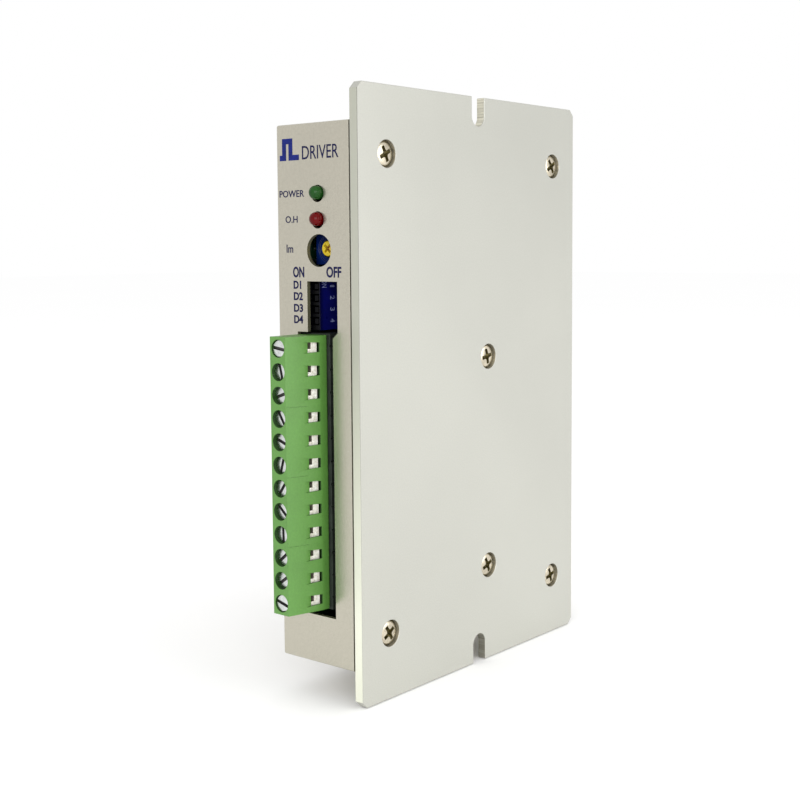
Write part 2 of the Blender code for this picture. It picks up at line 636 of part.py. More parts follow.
def make_terminal_screws(material):
    """Slotted screws; each turns about its own Y axis and pulls its clamp towards the head."""
    profile = [
        (0, 0),
        (POLE_HEAD_RADIUS - POLE_HEAD_EDGE, 0),
        (POLE_HEAD_RADIUS, POLE_HEAD_EDGE),
        (POLE_HEAD_RADIUS, POLE_HEAD_HEIGHT),
        (POLE_SHANK_RADIUS, POLE_HEAD_HEIGHT),
        (POLE_SHANK_RADIUS, POLE_SCREW_LENGTH),
        (0, POLE_SCREW_LENGTH),
    ]
    shape = turned(profile, "Y", 16)
    for number, height in enumerate(pole_heights(), 1):
        sink = HIGH_POLE_HEAD_SINK if number in HIGH_POLES else POLE_HEAD_SINK
        place = (POLE_X, PLUG_FRONT_Y + sink, height)
        screw = add_piece(f"terminal_screw_{number}", shape, material, place, smooth=number == 1)
        if number > 1:
            continue
        slot_x = (-POLE_HEAD_RADIUS - MM, POLE_HEAD_RADIUS + MM)
        slot_z = (-POLE_SLOT_HALF_WIDTH, POLE_SLOT_HALF_WIDTH)
        cut(screw, block(slot_x, (-MM, POLE_SLOT_DEPTH), slot_z), "slot")
        bake_modifiers(screw)
        shape = screw.data


def make_wire_clamps(material):
    """Rising clamps: a frame around the wire space, open along X, with the screw through its front wall."""
    inset = CHAMBER_SKIN + CLAMP_CLEARANCE
    base_y = CLAMP_Y[0]
    depth = CLAMP_Y[1] - CLAMP_Y[0]
    outline = [
        (CLAMP_BACK_X - POLE_X, 0),
        (slanted_edge(CLAMP_Y[0], inset) - POLE_X, 0),
        (slanted_edge(CLAMP_Y[1], inset) - POLE_X, depth),
        (CLAMP_BACK_X - POLE_X, depth),
    ]
    shared = None
    for number, height in enumerate(pole_heights(), 1):
        shape = shared or prism(outline, "Z", -CLAMP_HEIGHT / 2, CLAMP_HEIGHT / 2)
        clamp = add_piece(f"wire_clamp_{number}", shape, material, (POLE_X, base_y, height))
        if shared:
            continue
        half_window = CLAMP_WINDOW_HEIGHT / 2
        window_y = (CLAMP_FRONT_WALL, depth - CLAMP_BACK_WALL)
        cut(clamp, block((-5 * MM, 8 * MM), window_y, (-half_window, half_window)), "window")
        thread = prism(circle((0, 0), CLAMP_SCREW_HOLE_RADIUS, 12), "Y", -MM, CLAMP_FRONT_WALL + 0.2 * MM)
        cut(clamp, thread, "thread")
        bake_modifiers(clamp)
        shared = clamp.data


def make_power_stage(pad_material, device_material, bar_material):
    """Power packages pressed flat against the plate by a bar on the two clamp screws."""
    row_length = DEVICE_SPACING * (DEVICE_COUNT - 1) + DEVICE_WIDTH
    low_z = DEVICE_MIDDLE_Z - row_length / 2
    high_z = DEVICE_MIDDLE_Z + row_length / 2
    middle_y = CLAMP_SCREW_Y
    half_length = DEVICE_LENGTH / 2
    pad_y = (middle_y - half_length - MM, middle_y + half_length + MM)
    add_piece("thermal_pad", block((PAD_X - PAD_THICKNESS, PAD_X), pad_y, (low_z, high_z)), pad_material)
    bar_z = (CLAMP_SCREW_HEIGHTS[1] - CLAMP_BAR_OVERHANG, CLAMP_SCREW_HEIGHTS[0] + CLAMP_BAR_OVERHANG)
    bar_y = (middle_y - CLAMP_BAR_WIDTH / 2, middle_y + CLAMP_BAR_WIDTH / 2)
    bar_x = (CLAMP_BAR_X - CLAMP_BAR_THICKNESS, CLAMP_BAR_X)
    bar = add_piece("clamp_bar", block(bar_x, bar_y, bar_z), bar_material)
    holes = bmesh.new()
    for height in CLAMP_SCREW_HEIGHTS:
        prism(circle((middle_y, height), SCREW_HOLE_RADIUS, 16), "X", bar_x[0] - MM, bar_x[1] + MM, holes)
    cut(bar, holes, "threads")
    device_shape = None
    for number in range(DEVICE_COUNT):
        height = high_z - DEVICE_WIDTH / 2 - DEVICE_SPACING * number
        half_width = DEVICE_WIDTH / 2
        package = ((-DEVICE_THICKNESS, 0), (-half_length, half_length), (-half_width, half_width))
        shape = device_shape or block(*package)
        place = (DEVICE_X, middle_y, height)
        device = add_piece(f"power_device_{number + 1}", shape, device_material, place)
        if device_shape:
            continue
        join(device, device_legs(half_length), "legs")
        bake_modifiers(device)
        device_shape = device.data


def device_legs(half_length):
    """Three flat legs: out of the package towards the front, then down to the board."""
    legs = bmesh.new()
    root_y = GAP - half_length
    bend_y = -half_length - DEVICE_LEG_REACH
    floor_x = PART_SEAT_X - DEVICE_X
    top = -DEVICE_LEG_DEPTH
    under = top - DEVICE_LEG_THICKNESS
    inner_y = bend_y + DEVICE_LEG_THICKNESS
    path = [(top, root_y), (top, bend_y), (floor_x, bend_y)]
    path += [(floor_x, inner_y), (under, inner_y), (under, root_y)]
    for column in (-1, 0, 1):
        middle = column * DEVICE_LEG_PITCH
        prism(path, "Z", middle - DEVICE_LEG_HALF_WIDTH, middle + DEVICE_LEG_HALF_WIDTH, legs)
    return legs


def make_board_parts(sleeve_material, chip_material):
    groove_start, groove_middle, groove_end = CAPACITOR_GROOVE_Y
    profile = [
        (0, 0),
        (CAPACITOR_RADIUS - CAPACITOR_EDGE, 0),
        (CAPACITOR_RADIUS, CAPACITOR_EDGE),
        (CAPACITOR_RADIUS, groove_start),
        (CAPACITOR_RADIUS - CAPACITOR_GROOVE_DEPTH, groove_middle),
        (CAPACITOR_RADIUS, groove_end),
        (CAPACITOR_RADIUS, CAPACITOR_LENGTH - CAPACITOR_EDGE),
        (CAPACITOR_RADIUS - CAPACITOR_EDGE, CAPACITOR_LENGTH),
        (0, CAPACITOR_LENGTH),
    ]
    shape = turned(profile, "Y", 24)
    for number, height in enumerate(CAPACITOR_HEIGHTS, 1):
        place = (PART_SEAT_X + CAPACITOR_RADIUS, CAPACITOR_Y, height)
        capacitor = add_piece(f"bulk_capacitor_{number}", shape, sleeve_material, place, smooth=number == 1)
        shape = capacitor.data
    half_chip = CHIP_SIZE / 2
    outline = [(-half_chip, -half_chip), (half_chip, -half_chip), (half_chip, half_chip)]
    outline += [(-half_chip + CHIP_CORNER, half_chip), (-half_chip, half_chip - CHIP_CORNER)]
    add_piece("controller_chip", prism(outline, "X", 0, CHIP_HEIGHT), chip_material, (PART_SEAT_X, *CHIP_PLACE))
    half_width = OPTO_SIZE[0] / 2
    half_length = OPTO_SIZE[1] / 2
    opto = [(half_width, -half_length), (half_width, half_length)]
    opto += arc((0, half_length), OPTO_NOTCH_RADIUS, 360, 180, 6)
    opto += [(-half_width, half_length), (-half_width, -half_length)]
    shape = prism(opto, "X", 0, OPTO_SIZE[2])
    for number, height in enumerate(OPTO_HEIGHTS, 1):
        place = (PART_SEAT_X, OPTO_Y, height)
        piece = add_piece(f"optocoupler_{number}", shape, chip_material, place)
        shape = piece.data


def main():
    clear_scene()
    aluminium = make_material("anodised_aluminium", (0.69, 0.69, 0.64), 0.42, 0.85)
    enamel = make_material("champagne_enamel", (0.5, 0.47, 0.4), 0.35, 0.7)
    nickel = make_material("nickel_screw", (0.62, 0.58, 0.47), 0.3, 1.0)
    zinc = make_material("zinc_screw", (0.62, 0.63, 0.62), 0.3, 1.0)
    clamp_metal = make_material("tinned_clamp", (0.8, 0.8, 0.76), 0.25, 1.0)
    green_plastic = make_material("green_polyamide", (0.15, 0.38, 0.08), 0.45)
    black_plastic = make_material("black_polyamide", (0.02, 0.02, 0.02), 0.5)
    board_green = make_material("board_laminate", (0.02, 0.16, 0.06), 0.45)
    nylon = make_material("natural_nylon", (0.75, 0.74, 0.68), 0.5)
    blue_plastic = make_material("blue_plastic", (0.01, 0.03, 0.22), 0.35)
    yellow_plastic = make_material("yellow_rotor", (0.68, 0.5, 0.03), 0.45)
    green_lens = make_material("green_lens", (0.02, 0.2, 0.03), 0.15)
    red_lens = make_material("red_lens", (0.35, 0.0, 0.01), 0.15)
    silicone = make_material("grey_silicone", (0.4, 0.42, 0.42), 0.8)
    epoxy = make_material("black_epoxy", (0.03, 0.03, 0.03), 0.6)
    sleeve = make_material("dark_sleeve", (0.03, 0.03, 0.08), 0.35)
    steel = make_material("steel_bar", (0.45, 0.45, 0.45), 0.4, 1.0)
    make_base_plate(aluminium)
    make_cover(enamel)
    make_plate_screws(nickel)
    make_board(board_green, nylon)
    make_leds({"led_green": green_lens, "led_red": red_lens})
    make_trimmer(blue_plastic, yellow_plastic)
    make_dip_switch(blue_plastic, black_plastic)
    make_header(black_plastic)
    make_plug(green_plastic)
    make_terminal_screws(zinc)
    make_wire_clamps(clamp_metal)
    make_power_stage(silicone, epoxy, steel)
    make_board_parts(sleeve, epoxy)


main()
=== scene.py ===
import math
import random

import bmesh
import bpy
from mathutils import Matrix, Vector


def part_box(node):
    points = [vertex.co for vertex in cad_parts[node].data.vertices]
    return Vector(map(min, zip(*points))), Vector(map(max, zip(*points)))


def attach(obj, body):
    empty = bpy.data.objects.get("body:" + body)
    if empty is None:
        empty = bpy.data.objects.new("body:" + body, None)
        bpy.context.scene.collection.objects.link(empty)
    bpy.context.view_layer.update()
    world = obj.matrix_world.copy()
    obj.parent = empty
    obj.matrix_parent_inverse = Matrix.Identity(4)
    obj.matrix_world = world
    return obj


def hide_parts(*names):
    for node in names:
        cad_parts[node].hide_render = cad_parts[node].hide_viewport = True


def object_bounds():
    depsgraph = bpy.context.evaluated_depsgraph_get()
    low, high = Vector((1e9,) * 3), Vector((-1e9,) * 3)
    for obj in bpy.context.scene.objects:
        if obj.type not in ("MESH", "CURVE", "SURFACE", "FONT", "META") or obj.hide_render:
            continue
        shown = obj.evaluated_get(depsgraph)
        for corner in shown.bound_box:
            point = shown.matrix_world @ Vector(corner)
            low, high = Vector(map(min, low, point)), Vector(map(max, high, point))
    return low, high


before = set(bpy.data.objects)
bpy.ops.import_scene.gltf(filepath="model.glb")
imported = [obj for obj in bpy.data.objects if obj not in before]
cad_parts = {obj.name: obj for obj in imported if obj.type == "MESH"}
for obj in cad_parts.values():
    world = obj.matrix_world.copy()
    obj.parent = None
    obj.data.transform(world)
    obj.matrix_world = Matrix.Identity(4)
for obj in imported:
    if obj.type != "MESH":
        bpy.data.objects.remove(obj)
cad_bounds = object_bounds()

MM = 0.001
random.seed(12)

# Small distances, for parts that nearly touch and for telling a piece's faces apart by their place
GAP = 0.05 * MM
CLOSE = 0.02 * MM
SKIN = 0.1 * MM

# Where the CAD model has its main faces
PLATE_LOW, PLATE_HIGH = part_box("base_plate")
COVER_LOW, COVER_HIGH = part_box("cover")
PLUG_LOW, PLUG_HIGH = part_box("plug_housing")
HEADER_LOW, HEADER_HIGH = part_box("terminal_header")
FRONT_Y = COVER_LOW.y
DIP_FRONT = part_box("dip_body")[0].y

# Base plate and its screws
SLOT_WIDTH = 4.8 * MM
SLOT_DEPTH = 6.8 * MM
SLOT_Y = 0.7 * MM
PLATE_CHAMFER = 1.5 * MM
PLATE_EDGE = 0.32 * MM
RIM_DEPTH = 0.25 * MM
COUNTERBORE_RADIUS = 3.0 * MM
COUNTERBORE_DEPTH = 1.6 * MM
THREAD_HOLE_RADIUS = 1.7 * MM
HEAD_RADIUS = 2.86 * MM
HEAD_RIM_X = -1.05 * MM
HEAD_SEAT_X = -1.35 * MM
HEAD_TOP_X = -0.42 * MM
HEAD_CORNER = 0.12 * MM
DOME_BASE_X = -0.85 * MM
DOME_INSET = 0.3 * MM
DOME_FLAT = 0.1 * MM
DOME_POWER = 0.8
DOME_STEPS = 8
SHANK_RADIUS = 1.4 * MM
SHANK_TIP_RADIUS = 1.25 * MM
SHANK_TIP_LENGTH = 0.3 * MM
# Cross recess: height over the dome's top, arm length and half width of an arm, all in mm
RECESS_LEVELS = ((0.3, 2.1, 0.5), (-0.5, 1.55, 0.4), (-0.85, 0.9, 0.28))
RECESS_FILLET = 0.26
RECESS_REACH = 1.9 * MM
RECESS_FLOOR_DEPTH = 0.45 * MM
RECESS_TURN = (12, 42)

# Cover
SHEET = 1.0 * MM
FOLD_RADIUS = 0.5 * MM
INNER_FOLD_RADIUS = 0.4 * MM
FLANGE_WIDTH = 12.0 * MM
FLANGE_GAP = 0.8 * MM
CUT_MARGIN = 0.5 * MM
SEAM_HALF = 0.06 * MM
SEAM_DEPTH = 0.25 * MM
LED_HOLE_RADIUS = 1.85 * MM
LED_HOLE_DROP = 0.2 * MM
TRIMMER_HOLE_RADIUS = 3.55 * MM
TRIMMER_HOLE_CENTRE = (-11.45 * MM, 32.1 * MM)
WINDOW_X = (-15.1 * MM, -6.2 * MM)
WINDOW_TOP = 25.4 * MM
CUTOUT_X = (-18.15 * MM, -7.65 * MM)
CUTOUT_Z = (-48.8 * MM, 14.3 * MM)
CUTOUT_CORNER = 1.2 * MM

# Lamps
LENS_RADIUS = 1.5 * MM
LENS_DOME = 1.45 * MM
LENS_LENGTH = 5.2 * MM
LENS_STEPS = 12
LAMP_RIM_RADIUS = 1.9 * MM
LAMP_RIM_WIDTH = 1.0 * MM
LAMP_RIM_BEVEL = 0.1 * MM
LAMP_LEG_PITCH = 1.27 * MM
LAMP_LEG_HALF = 0.25 * MM
LAMP_LEG_REACH = 2.6 * MM
LAMP_LEG_STAGGER = 0.6 * MM

# Trimmer
TRIMMER_HEIGHT = 7.4 * MM
TRIMMER_POCKET_RADIUS = 1.95 * MM
TRIMMER_POCKET_DEPTH = 1.8 * MM
TRIMMER_GROOVE_RADII = (2.25 * MM, 2.9 * MM)
TRIMMER_GROOVE_DEPTH = 0.35 * MM
TRIMMER_PIN_HALF = 0.3 * MM
TRIMMER_PINS = ((1.5 * MM, -2.54 * MM), (3.3 * MM, 0), (1.5 * MM, 2.54 * MM))
KNOB_RADIUS = 1.65 * MM
KNOB_EDGE_RADIUS = 1.5 * MM
KNOB_EDGE = 0.12 * MM
KNOB_LENGTH = 1.85 * MM
# Cross slot: depth from the knob's face, arm length and half width of an arm, all in mm
KNOB_CROSS_LEVELS = ((-1.0, 1.25, 0.3), (0.75, 1.1, 0.24))
KNOB_FLOOR = (0.66 * MM, 0.73 * MM)
KNOB_FLOOR_RADIUS = 1.3 * MM

# Four-way switch
LEVER_SLOT_X = (-15.8 * MM, -13.0 * MM)
LEVER_SLOT_HALF = 0.85 * MM
LEVER_PLAY = 0.3 * MM
BLUE_SKIN = 0.6 * MM
SLOT_SKIN = 0.2 * MM
DIGIT_HEIGHT = 1.35 * MM
DIGIT_WIDTH = 0.8 * MM
DIGIT_ONE_WIDTH = 0.42 * MM
DIGIT_Y = -36.6 * MM
ON_MARK_Y = -39.1 * MM
ON_MARK_HEIGHT = 1.5 * MM
ON_MARK_WIDTH = 1.75 * MM
ON_MARK_RISE = 0.6 * MM

# Printing
FILM = 0.01 * MM
# Left, bottom, height, stroke and step of the square-pulse sign, in mm
PULSE_MARK = (-22.9, 51.8, 4.8, 1.2, 1.95)
PULSE_FILM = 0.03 * MM
# Name, text, X and Z of the middle, width and height in mm, and weight
LABELS = (
    ("label_driver", "DRIVER", -10.75, 53.3, 10.7, 2.9, 0.003),
    ("label_power", "POWER", -19.4, 44.55, 7.5, 1.5, 0.012),
    ("label_overheat", "O.H", -19.55, 38.95, 3.7, 1.5, 0.012),
    ("label_current", "Im", -20.2, 32.55, 2.0, 1.8, 0.012),
    ("label_on", "ON", -17.6, 27.4, 3.4, 2.4, 0.03),
    ("label_off", "OFF", -7.1, 27.45, 4.35, 2.4, 0.03),
    ("label_d1", "D1", -18.05, 24.6, 2.3, 1.8, 0.035),
    ("label_d2", "D2", -17.8, 22.1, 2.75, 1.8, 0.035),
    ("label_d3", "D3", -17.8, 19.5, 2.75, 1.8, 0.035),
    ("label_d4", "D4", -17.8, 17.0, 2.75, 1.8, 0.035),
)

# Terminal block
POLES = 12
PITCH = 5.08 * MM
PLUG_CORNER_X = -13.45 * MM
PLUG_SLANT = 0.265
SHOULDER_Y = PLUG_LOW.y + 10.4 * MM
BEND_Y = PLUG_LOW.y + 8.5 * MM
POLE_X = -15.65 * MM
SLOT_ANGLES = (-8, 104, 20, -58, -20, 74, 55, -42, 92, 40, 36, -15)
PIN_X = -14.55 * MM
STEM_X = (-17.4 * MM, -11.7 * MM)
STEM_END_GAP = 0.9 * MM
BEND_STEP = 0.12 * MM
# Distances from the plug's front
CHAMBER_FROM_FRONT = (1.8 * MM, 9.9 * MM)
FUNNEL_FROM_FRONT = (4.25 * MM, 8.4 * MM)
THROAT_FROM_FRONT = (6.0 * MM, 8.3 * MM)
ENTRY_FROM_FRONT = (4.25 * MM, 8.75 * MM)
JOINT_LENGTH = 5.2 * MM
CHAMBER_X = -17.5 * MM
CHAMBER_HALF = 2.1 * MM
CHAMBER_SKIN = 0.35 * MM
OVERLAP = 0.2 * MM
SCREW_HOLE_RADII = (2.02 * MM, 1.95 * MM, 1.9 * MM)
SCREW_HOLE_MOUTH = 0.12 * MM
# Which faces of the screw holes and the wire entries are shaded
SHADE_RADIUS = 1.99 * MM
SHADE_START = 0.16 * MM
ENTRY_HALF = 1.3 * MM
ENTRY_DEPTH = 1.2 * MM
THROAT_X = -14 * MM
THROAT_HALF = 1.0 * MM
SOCKET_HALF = 0.8 * MM
JOINT_HALF = 0.06 * MM
JOINT_DEPTH = 0.1 * MM
FUNNEL_RUN = 1.9 * MM
FUNNEL_DEPTHS = (-0.02 * MM, 0.45 * MM, 0.45 * MM)
FUNNEL_HALVES = (1.28 * MM, 1.12 * MM, 1.05 * MM)
FUNNEL_PROUD = 0.6 * MM
POLE_HEAD_RADIUS = 1.86 * MM
POLE_HEAD_HEIGHT = 0.9 * MM
# Inset from the head's radius and depth from its face
POLE_HEAD_CORNER = ((0.22 * MM, 0), (0.06 * MM, 0.06 * MM), (0, 0.2 * MM))
THREAD_CREST = 1.0 * MM
THREAD_ROOT = 0.82 * MM
THREAD_TIP = 0.8 * MM
THREAD_TURNS = 8
POLE_SLOT_REACH = 2.2 * MM
POLE_SLOT_HALF = 0.36 * MM
POLE_SLOT_DEPTH = 0.7 * MM
CLAMP_WALL = 0.8 * MM
CLAMP_MOUTH_BACK = 1.45 * MM
CLAMP_ROOM_LENGTH = 2.7 * MM
CLAMP_ROOM_HALF = 1.2 * MM
CLAMP_MOUTH_LOW = 0.35 * MM
HEADER_RIM_X = -10.25 * MM
HEADER_LENGTH = 10.1 * MM
HEADER_WALL = 1.0 * MM
HEADER_END_WALL = 0.9 * MM
HEADER_BACK_WALL = 1.5 * MM
HEADER_NOTCH_DEPTH = 0.25 * MM
HEADER_NOTCH_LENGTH = 1.2 * MM
HEADER_NOTCH_HALF = 0.2 * MM
HEADER_PIN_HALF = 0.5 * MM
HEADER_PIN_FROM_FRONT = (3.2 * MM, 14.0 * MM)

# Camera and lights
CAMERA_PLACE = (181.987 * MM, -247.303 * MM, 32.794 * MM)
CAMERA_AZIMUTH = math.radians(39.7665)
CAMERA_DIP = math.radians(4.8249)
CAMERA_ROLL = math.radians(-0.4325)
CAMERA_LENS = 58.256
CAMERA_SHIFT = -0.055
CAMERA_CLIP_START = 0.01
FLOOR_HALF = 4.0
FLOOR_DROP = 0.2 * MM
# Name, place, target, size and power
LIGHTS = (
    ("key", (0.5, -0.7, 0.2), (0, 0, -0.02), (0.7, 0.5), 3.6),
    ("fill", (0.9, 0.25, 0), (0, 0, -0.05), (0.8, 0.8), 5.2),
)


# ---------------------------------------------------------------- shapes

def prism(points, axis, low, high, into=None):
    """A polygon drawn in the two other axes, pulled from low to high along axis."""
    shape = into or bmesh.new()
    index = "XYZ".index(axis)
    rings = []
    for level in (low, high):
        ring = []
        for first, second in points:
            place = [first, second]
            place.insert(index, level)
            ring.append(shape.verts.new(place))
        rings.append(ring)
    shape.faces.new(rings[0])
    shape.faces.new(rings[1])
    count = len(points)
    for side in range(count):
        following = (side + 1) % count
        shape.faces.new((rings[0][side], rings[0][following], rings[1][following], rings[1][side]))
    return shape


def block(x_span, y_span, z_span, into=None):
    corners = [(y_span[0], z_span[0]), (y_span[1], z_span[0]), (y_span[1], z_span[1]), (y_span[0], z_span[1])]
    return prism(corners, "X", x_span[0], x_span[1], into)


def loft(rings, into=None):
    """Closed body through rings of points in space that have the same number of corners."""
    shape = into or bmesh.new()
    made = [[shape.verts.new(point) for point in ring] for ring in rings]
    shape.faces.new(made[0])
    shape.faces.new(made[-1])
    for lower, upper in zip(made, made[1:]):
        for side in range(len(lower)):
            following = (side + 1) % len(lower)
            shape.faces.new((lower[side], lower[following], upper[following], upper[side]))
    return shape


def arc(centre, radius, start, end, steps):
    points = []
    for step in range(steps + 1):
        angle = math.radians(start + (end - start) * step / steps)
        points.append((centre[0] + radius * math.cos(angle), centre[1] + radius * math.sin(angle)))
    return points


def circle(centre, radius, sides):
    return arc(centre, radius, 0, 360, sides)[:-1]


def turned(profile, axis, sides=48, into=None):
    """Spin (radius, height) points around an axis; a radius of 0 closes an end."""
    turns = {"X": Matrix.Rotation(math.radians(90), 4, "Y"), "Y": Matrix.Rotation(math.radians(-90), 4, "X")}
    turn = turns.get(axis, Matrix.Identity(4))
    shape = into or bmesh.new()
    rings = []
    for radius, height in profile:
        if radius == 0:
            rings.append([shape.verts.new(turn @ Vector((0, 0, height)))])
        else:
            places = [Vector((x, y, height)) for x, y in circle((0, 0), radius, sides)]
            rings.append([shape.verts.new(turn @ place) for place in places])
    for lower, upper in zip(rings, rings[1:]):
        for side in range(sides):
            following = (side + 1) % sides
            corners = [lower[side % len(lower)], lower[following % len(lower)]]
            corners += [upper[following % len(upper)], upper[side % len(upper)]]
            shape.faces.new(list(dict.fromkeys(corners)))
    return shape


def cross_corners(arm, half, fillet, start):
    """Corners of a four-armed cross in mm, turned by start degrees, with blunt or sharp notches."""
    corners = [(arm, -half), (arm, half)]
    corners += [(half + fillet, half), (half, half + fillet)] if fillet else [(half, half)]
    outline = []
    for quarter in range(4):
        turn = Matrix.Rotation(math.radians(start + 90 * quarter), 2)
        outline += [turn @ Vector(corner) for corner in corners]
    return outline


def moved(shape, offset=(0, 0, 0), spin=None):
    matrix = Matrix.Translation(offset)
    if spin:
        matrix = matrix @ spin
    bmesh.ops.transform(shape, matrix=matrix, verts=shape.verts)
    return shape


def to_object(shape, name):
    bmesh.ops.recalc_face_normals(shape, faces=shape.faces)
    mesh = bpy.data.meshes.new(name)
    shape.to_mesh(mesh)
    shape.free()
    mesh.shade_smooth()
    made = bpy.data.objects.new(name, mesh)
    bpy.context.scene.collection.objects.link(made)
    return made


def piece(name, shape, material, body, cuts=(), edge=0.0, segments=2, replaces=()):
    """A finished piece: its shape less the cuts, with rounded edges, riding on a body."""
    made = to_object(shape, name)
    helpers = [to_object(cutter, f"{name}_cut") for cutter in cuts]
    for helper in helpers:
        boolean = made.modifiers.new("cut", "BOOLEAN")
        boolean.operation = "DIFFERENCE"
        boolean.object = helper
    if edge:
        bevel = made.modifiers.new("edge", "BEVEL")
        bevel.width = edge
        bevel.segments = segments
        bevel.limit_method = "ANGLE"
        bevel.angle_limit = math.radians(32)
        bevel.harden_normals = True
    bpy.context.view_layer.update()
    evaluated = made.evaluated_get(bpy.context.evaluated_depsgraph_get())
    made.data = bpy.data.meshes.new_from_object(evaluated)
    made.modifiers.clear()
    for helper in helpers:
        bpy.data.objects.remove(helper, do_unlink=True)
    if not edge:
        made.data.set_sharp_from_angle(angle=math.radians(38))
    made.data.materials.clear()
    made.data.materials.append(material)
    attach(made, body)
    if replaces:
        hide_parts(*replaces)
    return made


def add_finish(made, material):
    """Adds a second finish to a piece and returns its number, which the piece's faces refer to."""
    made.data.materials.append(material)
    return len(made.data.materials) - 1


def lettering(name, text, height, width, middle, face, material, body, weight=0.0):
    """Printed characters: a thin solid film on the front wall or on an +X face."""
    curve = bpy.data.curves.new(name, "FONT")
    curve.body = text
    curve.align_x = "CENTER"
    curve.align_y = "CENTER"
    curve.extrude = 0.02
    curve.offset = weight
    curve.resolution_u = 4
    writer = bpy.data.objects.new(name, curve)
    bpy.context.scene.collection.objects.link(writer)
    bpy.context.view_layer.update()
    mesh = bpy.data.meshes.new_from_object(writer.evaluated_get(bpy.context.evaluated_depsgraph_get()))
    bpy.data.objects.remove(writer, do_unlink=True)
    shape = bmesh.new()
    shape.from_mesh(mesh)
    bmesh.ops.remove_doubles(shape, verts=shape.verts, dist=1e-5)
    xs = [vertex.co.x for vertex in shape.verts]
    ys = [vertex.co.y for vertex in shape.verts]
    scale_x = width / (max(xs) - min(xs))
    scale_y = height / (max(ys) - min(ys))
    centre = Matrix.Translation((-(max(xs) + min(xs)) / 2, -(max(ys) + min(ys)) / 2, 0))
    scale = Matrix.Diagonal((scale_x, scale_y, MM, 1))
    facing = {
        "front": Matrix(((1, 0, 0, 0), (0, 0, -1, 0), (0, 1, 0, 0), (0, 0, 0, 1))),
        "side": Matrix(((0, 0, 1, 0), (0, 1, 0, 0), (-1, 0, 0, 0), (0, 0, 0, 1))),
    }[face]
    bmesh.ops.transform(shape, matrix=Matrix.Translation(middle) @ facing @ scale @ centre, verts=shape.verts)
    return piece(name, shape, material, body)


# ---------------------------------------------------------------- materials

def surface(name, colour, roughness, metallic=0.0, mottle=0.05, mottle_scale=60, grain=0.03,
            grain_scale=2500, bump=0.05, stretch=(1, 1, 1), coat=0.0, specular=0.5):
    """Principled material whose colour, roughness and relief vary slightly over the surface."""
    material = bpy.data.materials.new(name)
    material.use_nodes = True
    tree = material.node_tree
    shader = tree.nodes["Principled BSDF"]
    shader.inputs["Metallic"].default_value = metallic
    shader.inputs["Coat Weight"].default_value = coat
    shader.inputs["Coat Roughness"].default_value = 0.12
    shader.inputs["Specular IOR Level"].default_value = specular
    place = tree.nodes.new("ShaderNodeTexCoord")
    mapping = tree.nodes.new("ShaderNodeMapping")
    mapping.inputs["Scale"].default_value = stretch
    tree.links.new(place.outputs["Object"], mapping.inputs["Vector"])
    large = tree.nodes.new("ShaderNodeTexNoise")
    large.inputs["Scale"].default_value = mottle_scale
    large.inputs["Detail"].default_value = 4
    fine = tree.nodes.new("ShaderNodeTexNoise")
    fine.inputs["Scale"].default_value = grain_scale
    fine.inputs["Detail"].default_value = 3
    tree.links.new(mapping.outputs["Vector"], large.inputs["Vector"])
    tree.links.new(mapping.outputs["Vector"], fine.inputs["Vector"])
    dark = tuple(max(0.0, channel * (1 - mottle)) for channel in colour)
    light = tuple(min(1.0, channel * (1 + mottle)) for channel in colour)
    blotches = tree.nodes.new("ShaderNodeValToRGB")
    blotches.color_ramp.elements[0].position = 0.3
    blotches.color_ramp.elements[1].position = 0.7
    blotches.color_ramp.elements[0].color = (*dark, 1)
    blotches.color_ramp.elements[1].color = (*light, 1)
    tree.links.new(large.outputs["Fac"], blotches.inputs["Fac"])
    speckle = tree.nodes.new("ShaderNodeMix")
    speckle.data_type = "RGBA"
    speckle.blend_type = "OVERLAY"
    speckle.inputs["Factor"].default_value = grain * 10
    tree.links.new(blotches.outputs["Color"], speckle.inputs["A"])
    tree.links.new(fine.outputs["Fac"], speckle.inputs["B"])
    tree.links.new(speckle.outputs["Result"], shader.inputs["Base Color"])
    gloss = tree.nodes.new("ShaderNodeMapRange")
    gloss.inputs["To Min"].default_value = max(0.0, roughness - 0.06)
    gloss.inputs["To Max"].default_value = min(1.0, roughness + 0.06)
    tree.links.new(large.outputs["Fac"], gloss.inputs["Value"])
    tree.links.new(gloss.outputs["Result"], shader.inputs["Roughness"])
    relief = tree.nodes.new("ShaderNodeBump")
    relief.inputs["Strength"].default_value = bump
    relief.inputs["Distance"].default_value = 0.0001
    tree.links.new(fine.outputs["Fac"], relief.inputs["Height"])
    tree.links.new(relief.outputs["Normal"], shader.inputs["Normal"])
    return material


PLATE_METAL = surface("anodised_aluminium", (0.5, 0.5, 0.452), 0.4, 0.55, 0.02, 25, 0.012, 3500, 0.1)
# Painted reflection: a dark streak on the bevel along the plate's front edge
RIM_REFLECTION = surface("plate_rim", (0.42, 0.42, 0.37), 0.4, 0.5, 0.06, 18, 0.012, 3500, 0.1)
ENAMEL = surface("champagne_enamel", (0.48, 0.455, 0.38), 0.23, 0.86, 0.02, 40, 0.01, 1800, 0.04)
# Painted shade: nearly black, for the faces inside the cover
INSIDE_SHADE = surface("painted_inside_shade", (0.035, 0.035, 0.033), 0.6, 0.2, 0.15, 80, 0.02, 1800, 0.1)
NICKEL = surface("nickel_screw", (0.6, 0.54, 0.42), 0.22, 1.0, 0.18, 700, 0.05, 4000, 0.25)
# Painted shade for the walls and bottoms of the screws' cross recesses
RECESS_SHADE = surface("recess_shade", (0.075, 0.06, 0.015), 0.4, 0.6, 0.45, 1500, 0.05, 5000, 0.3)
BORE = surface("bore_shade", (0.3, 0.28, 0.215), 0.4, 0.6, 0.3, 900, 0.03, 5000, 0.2)
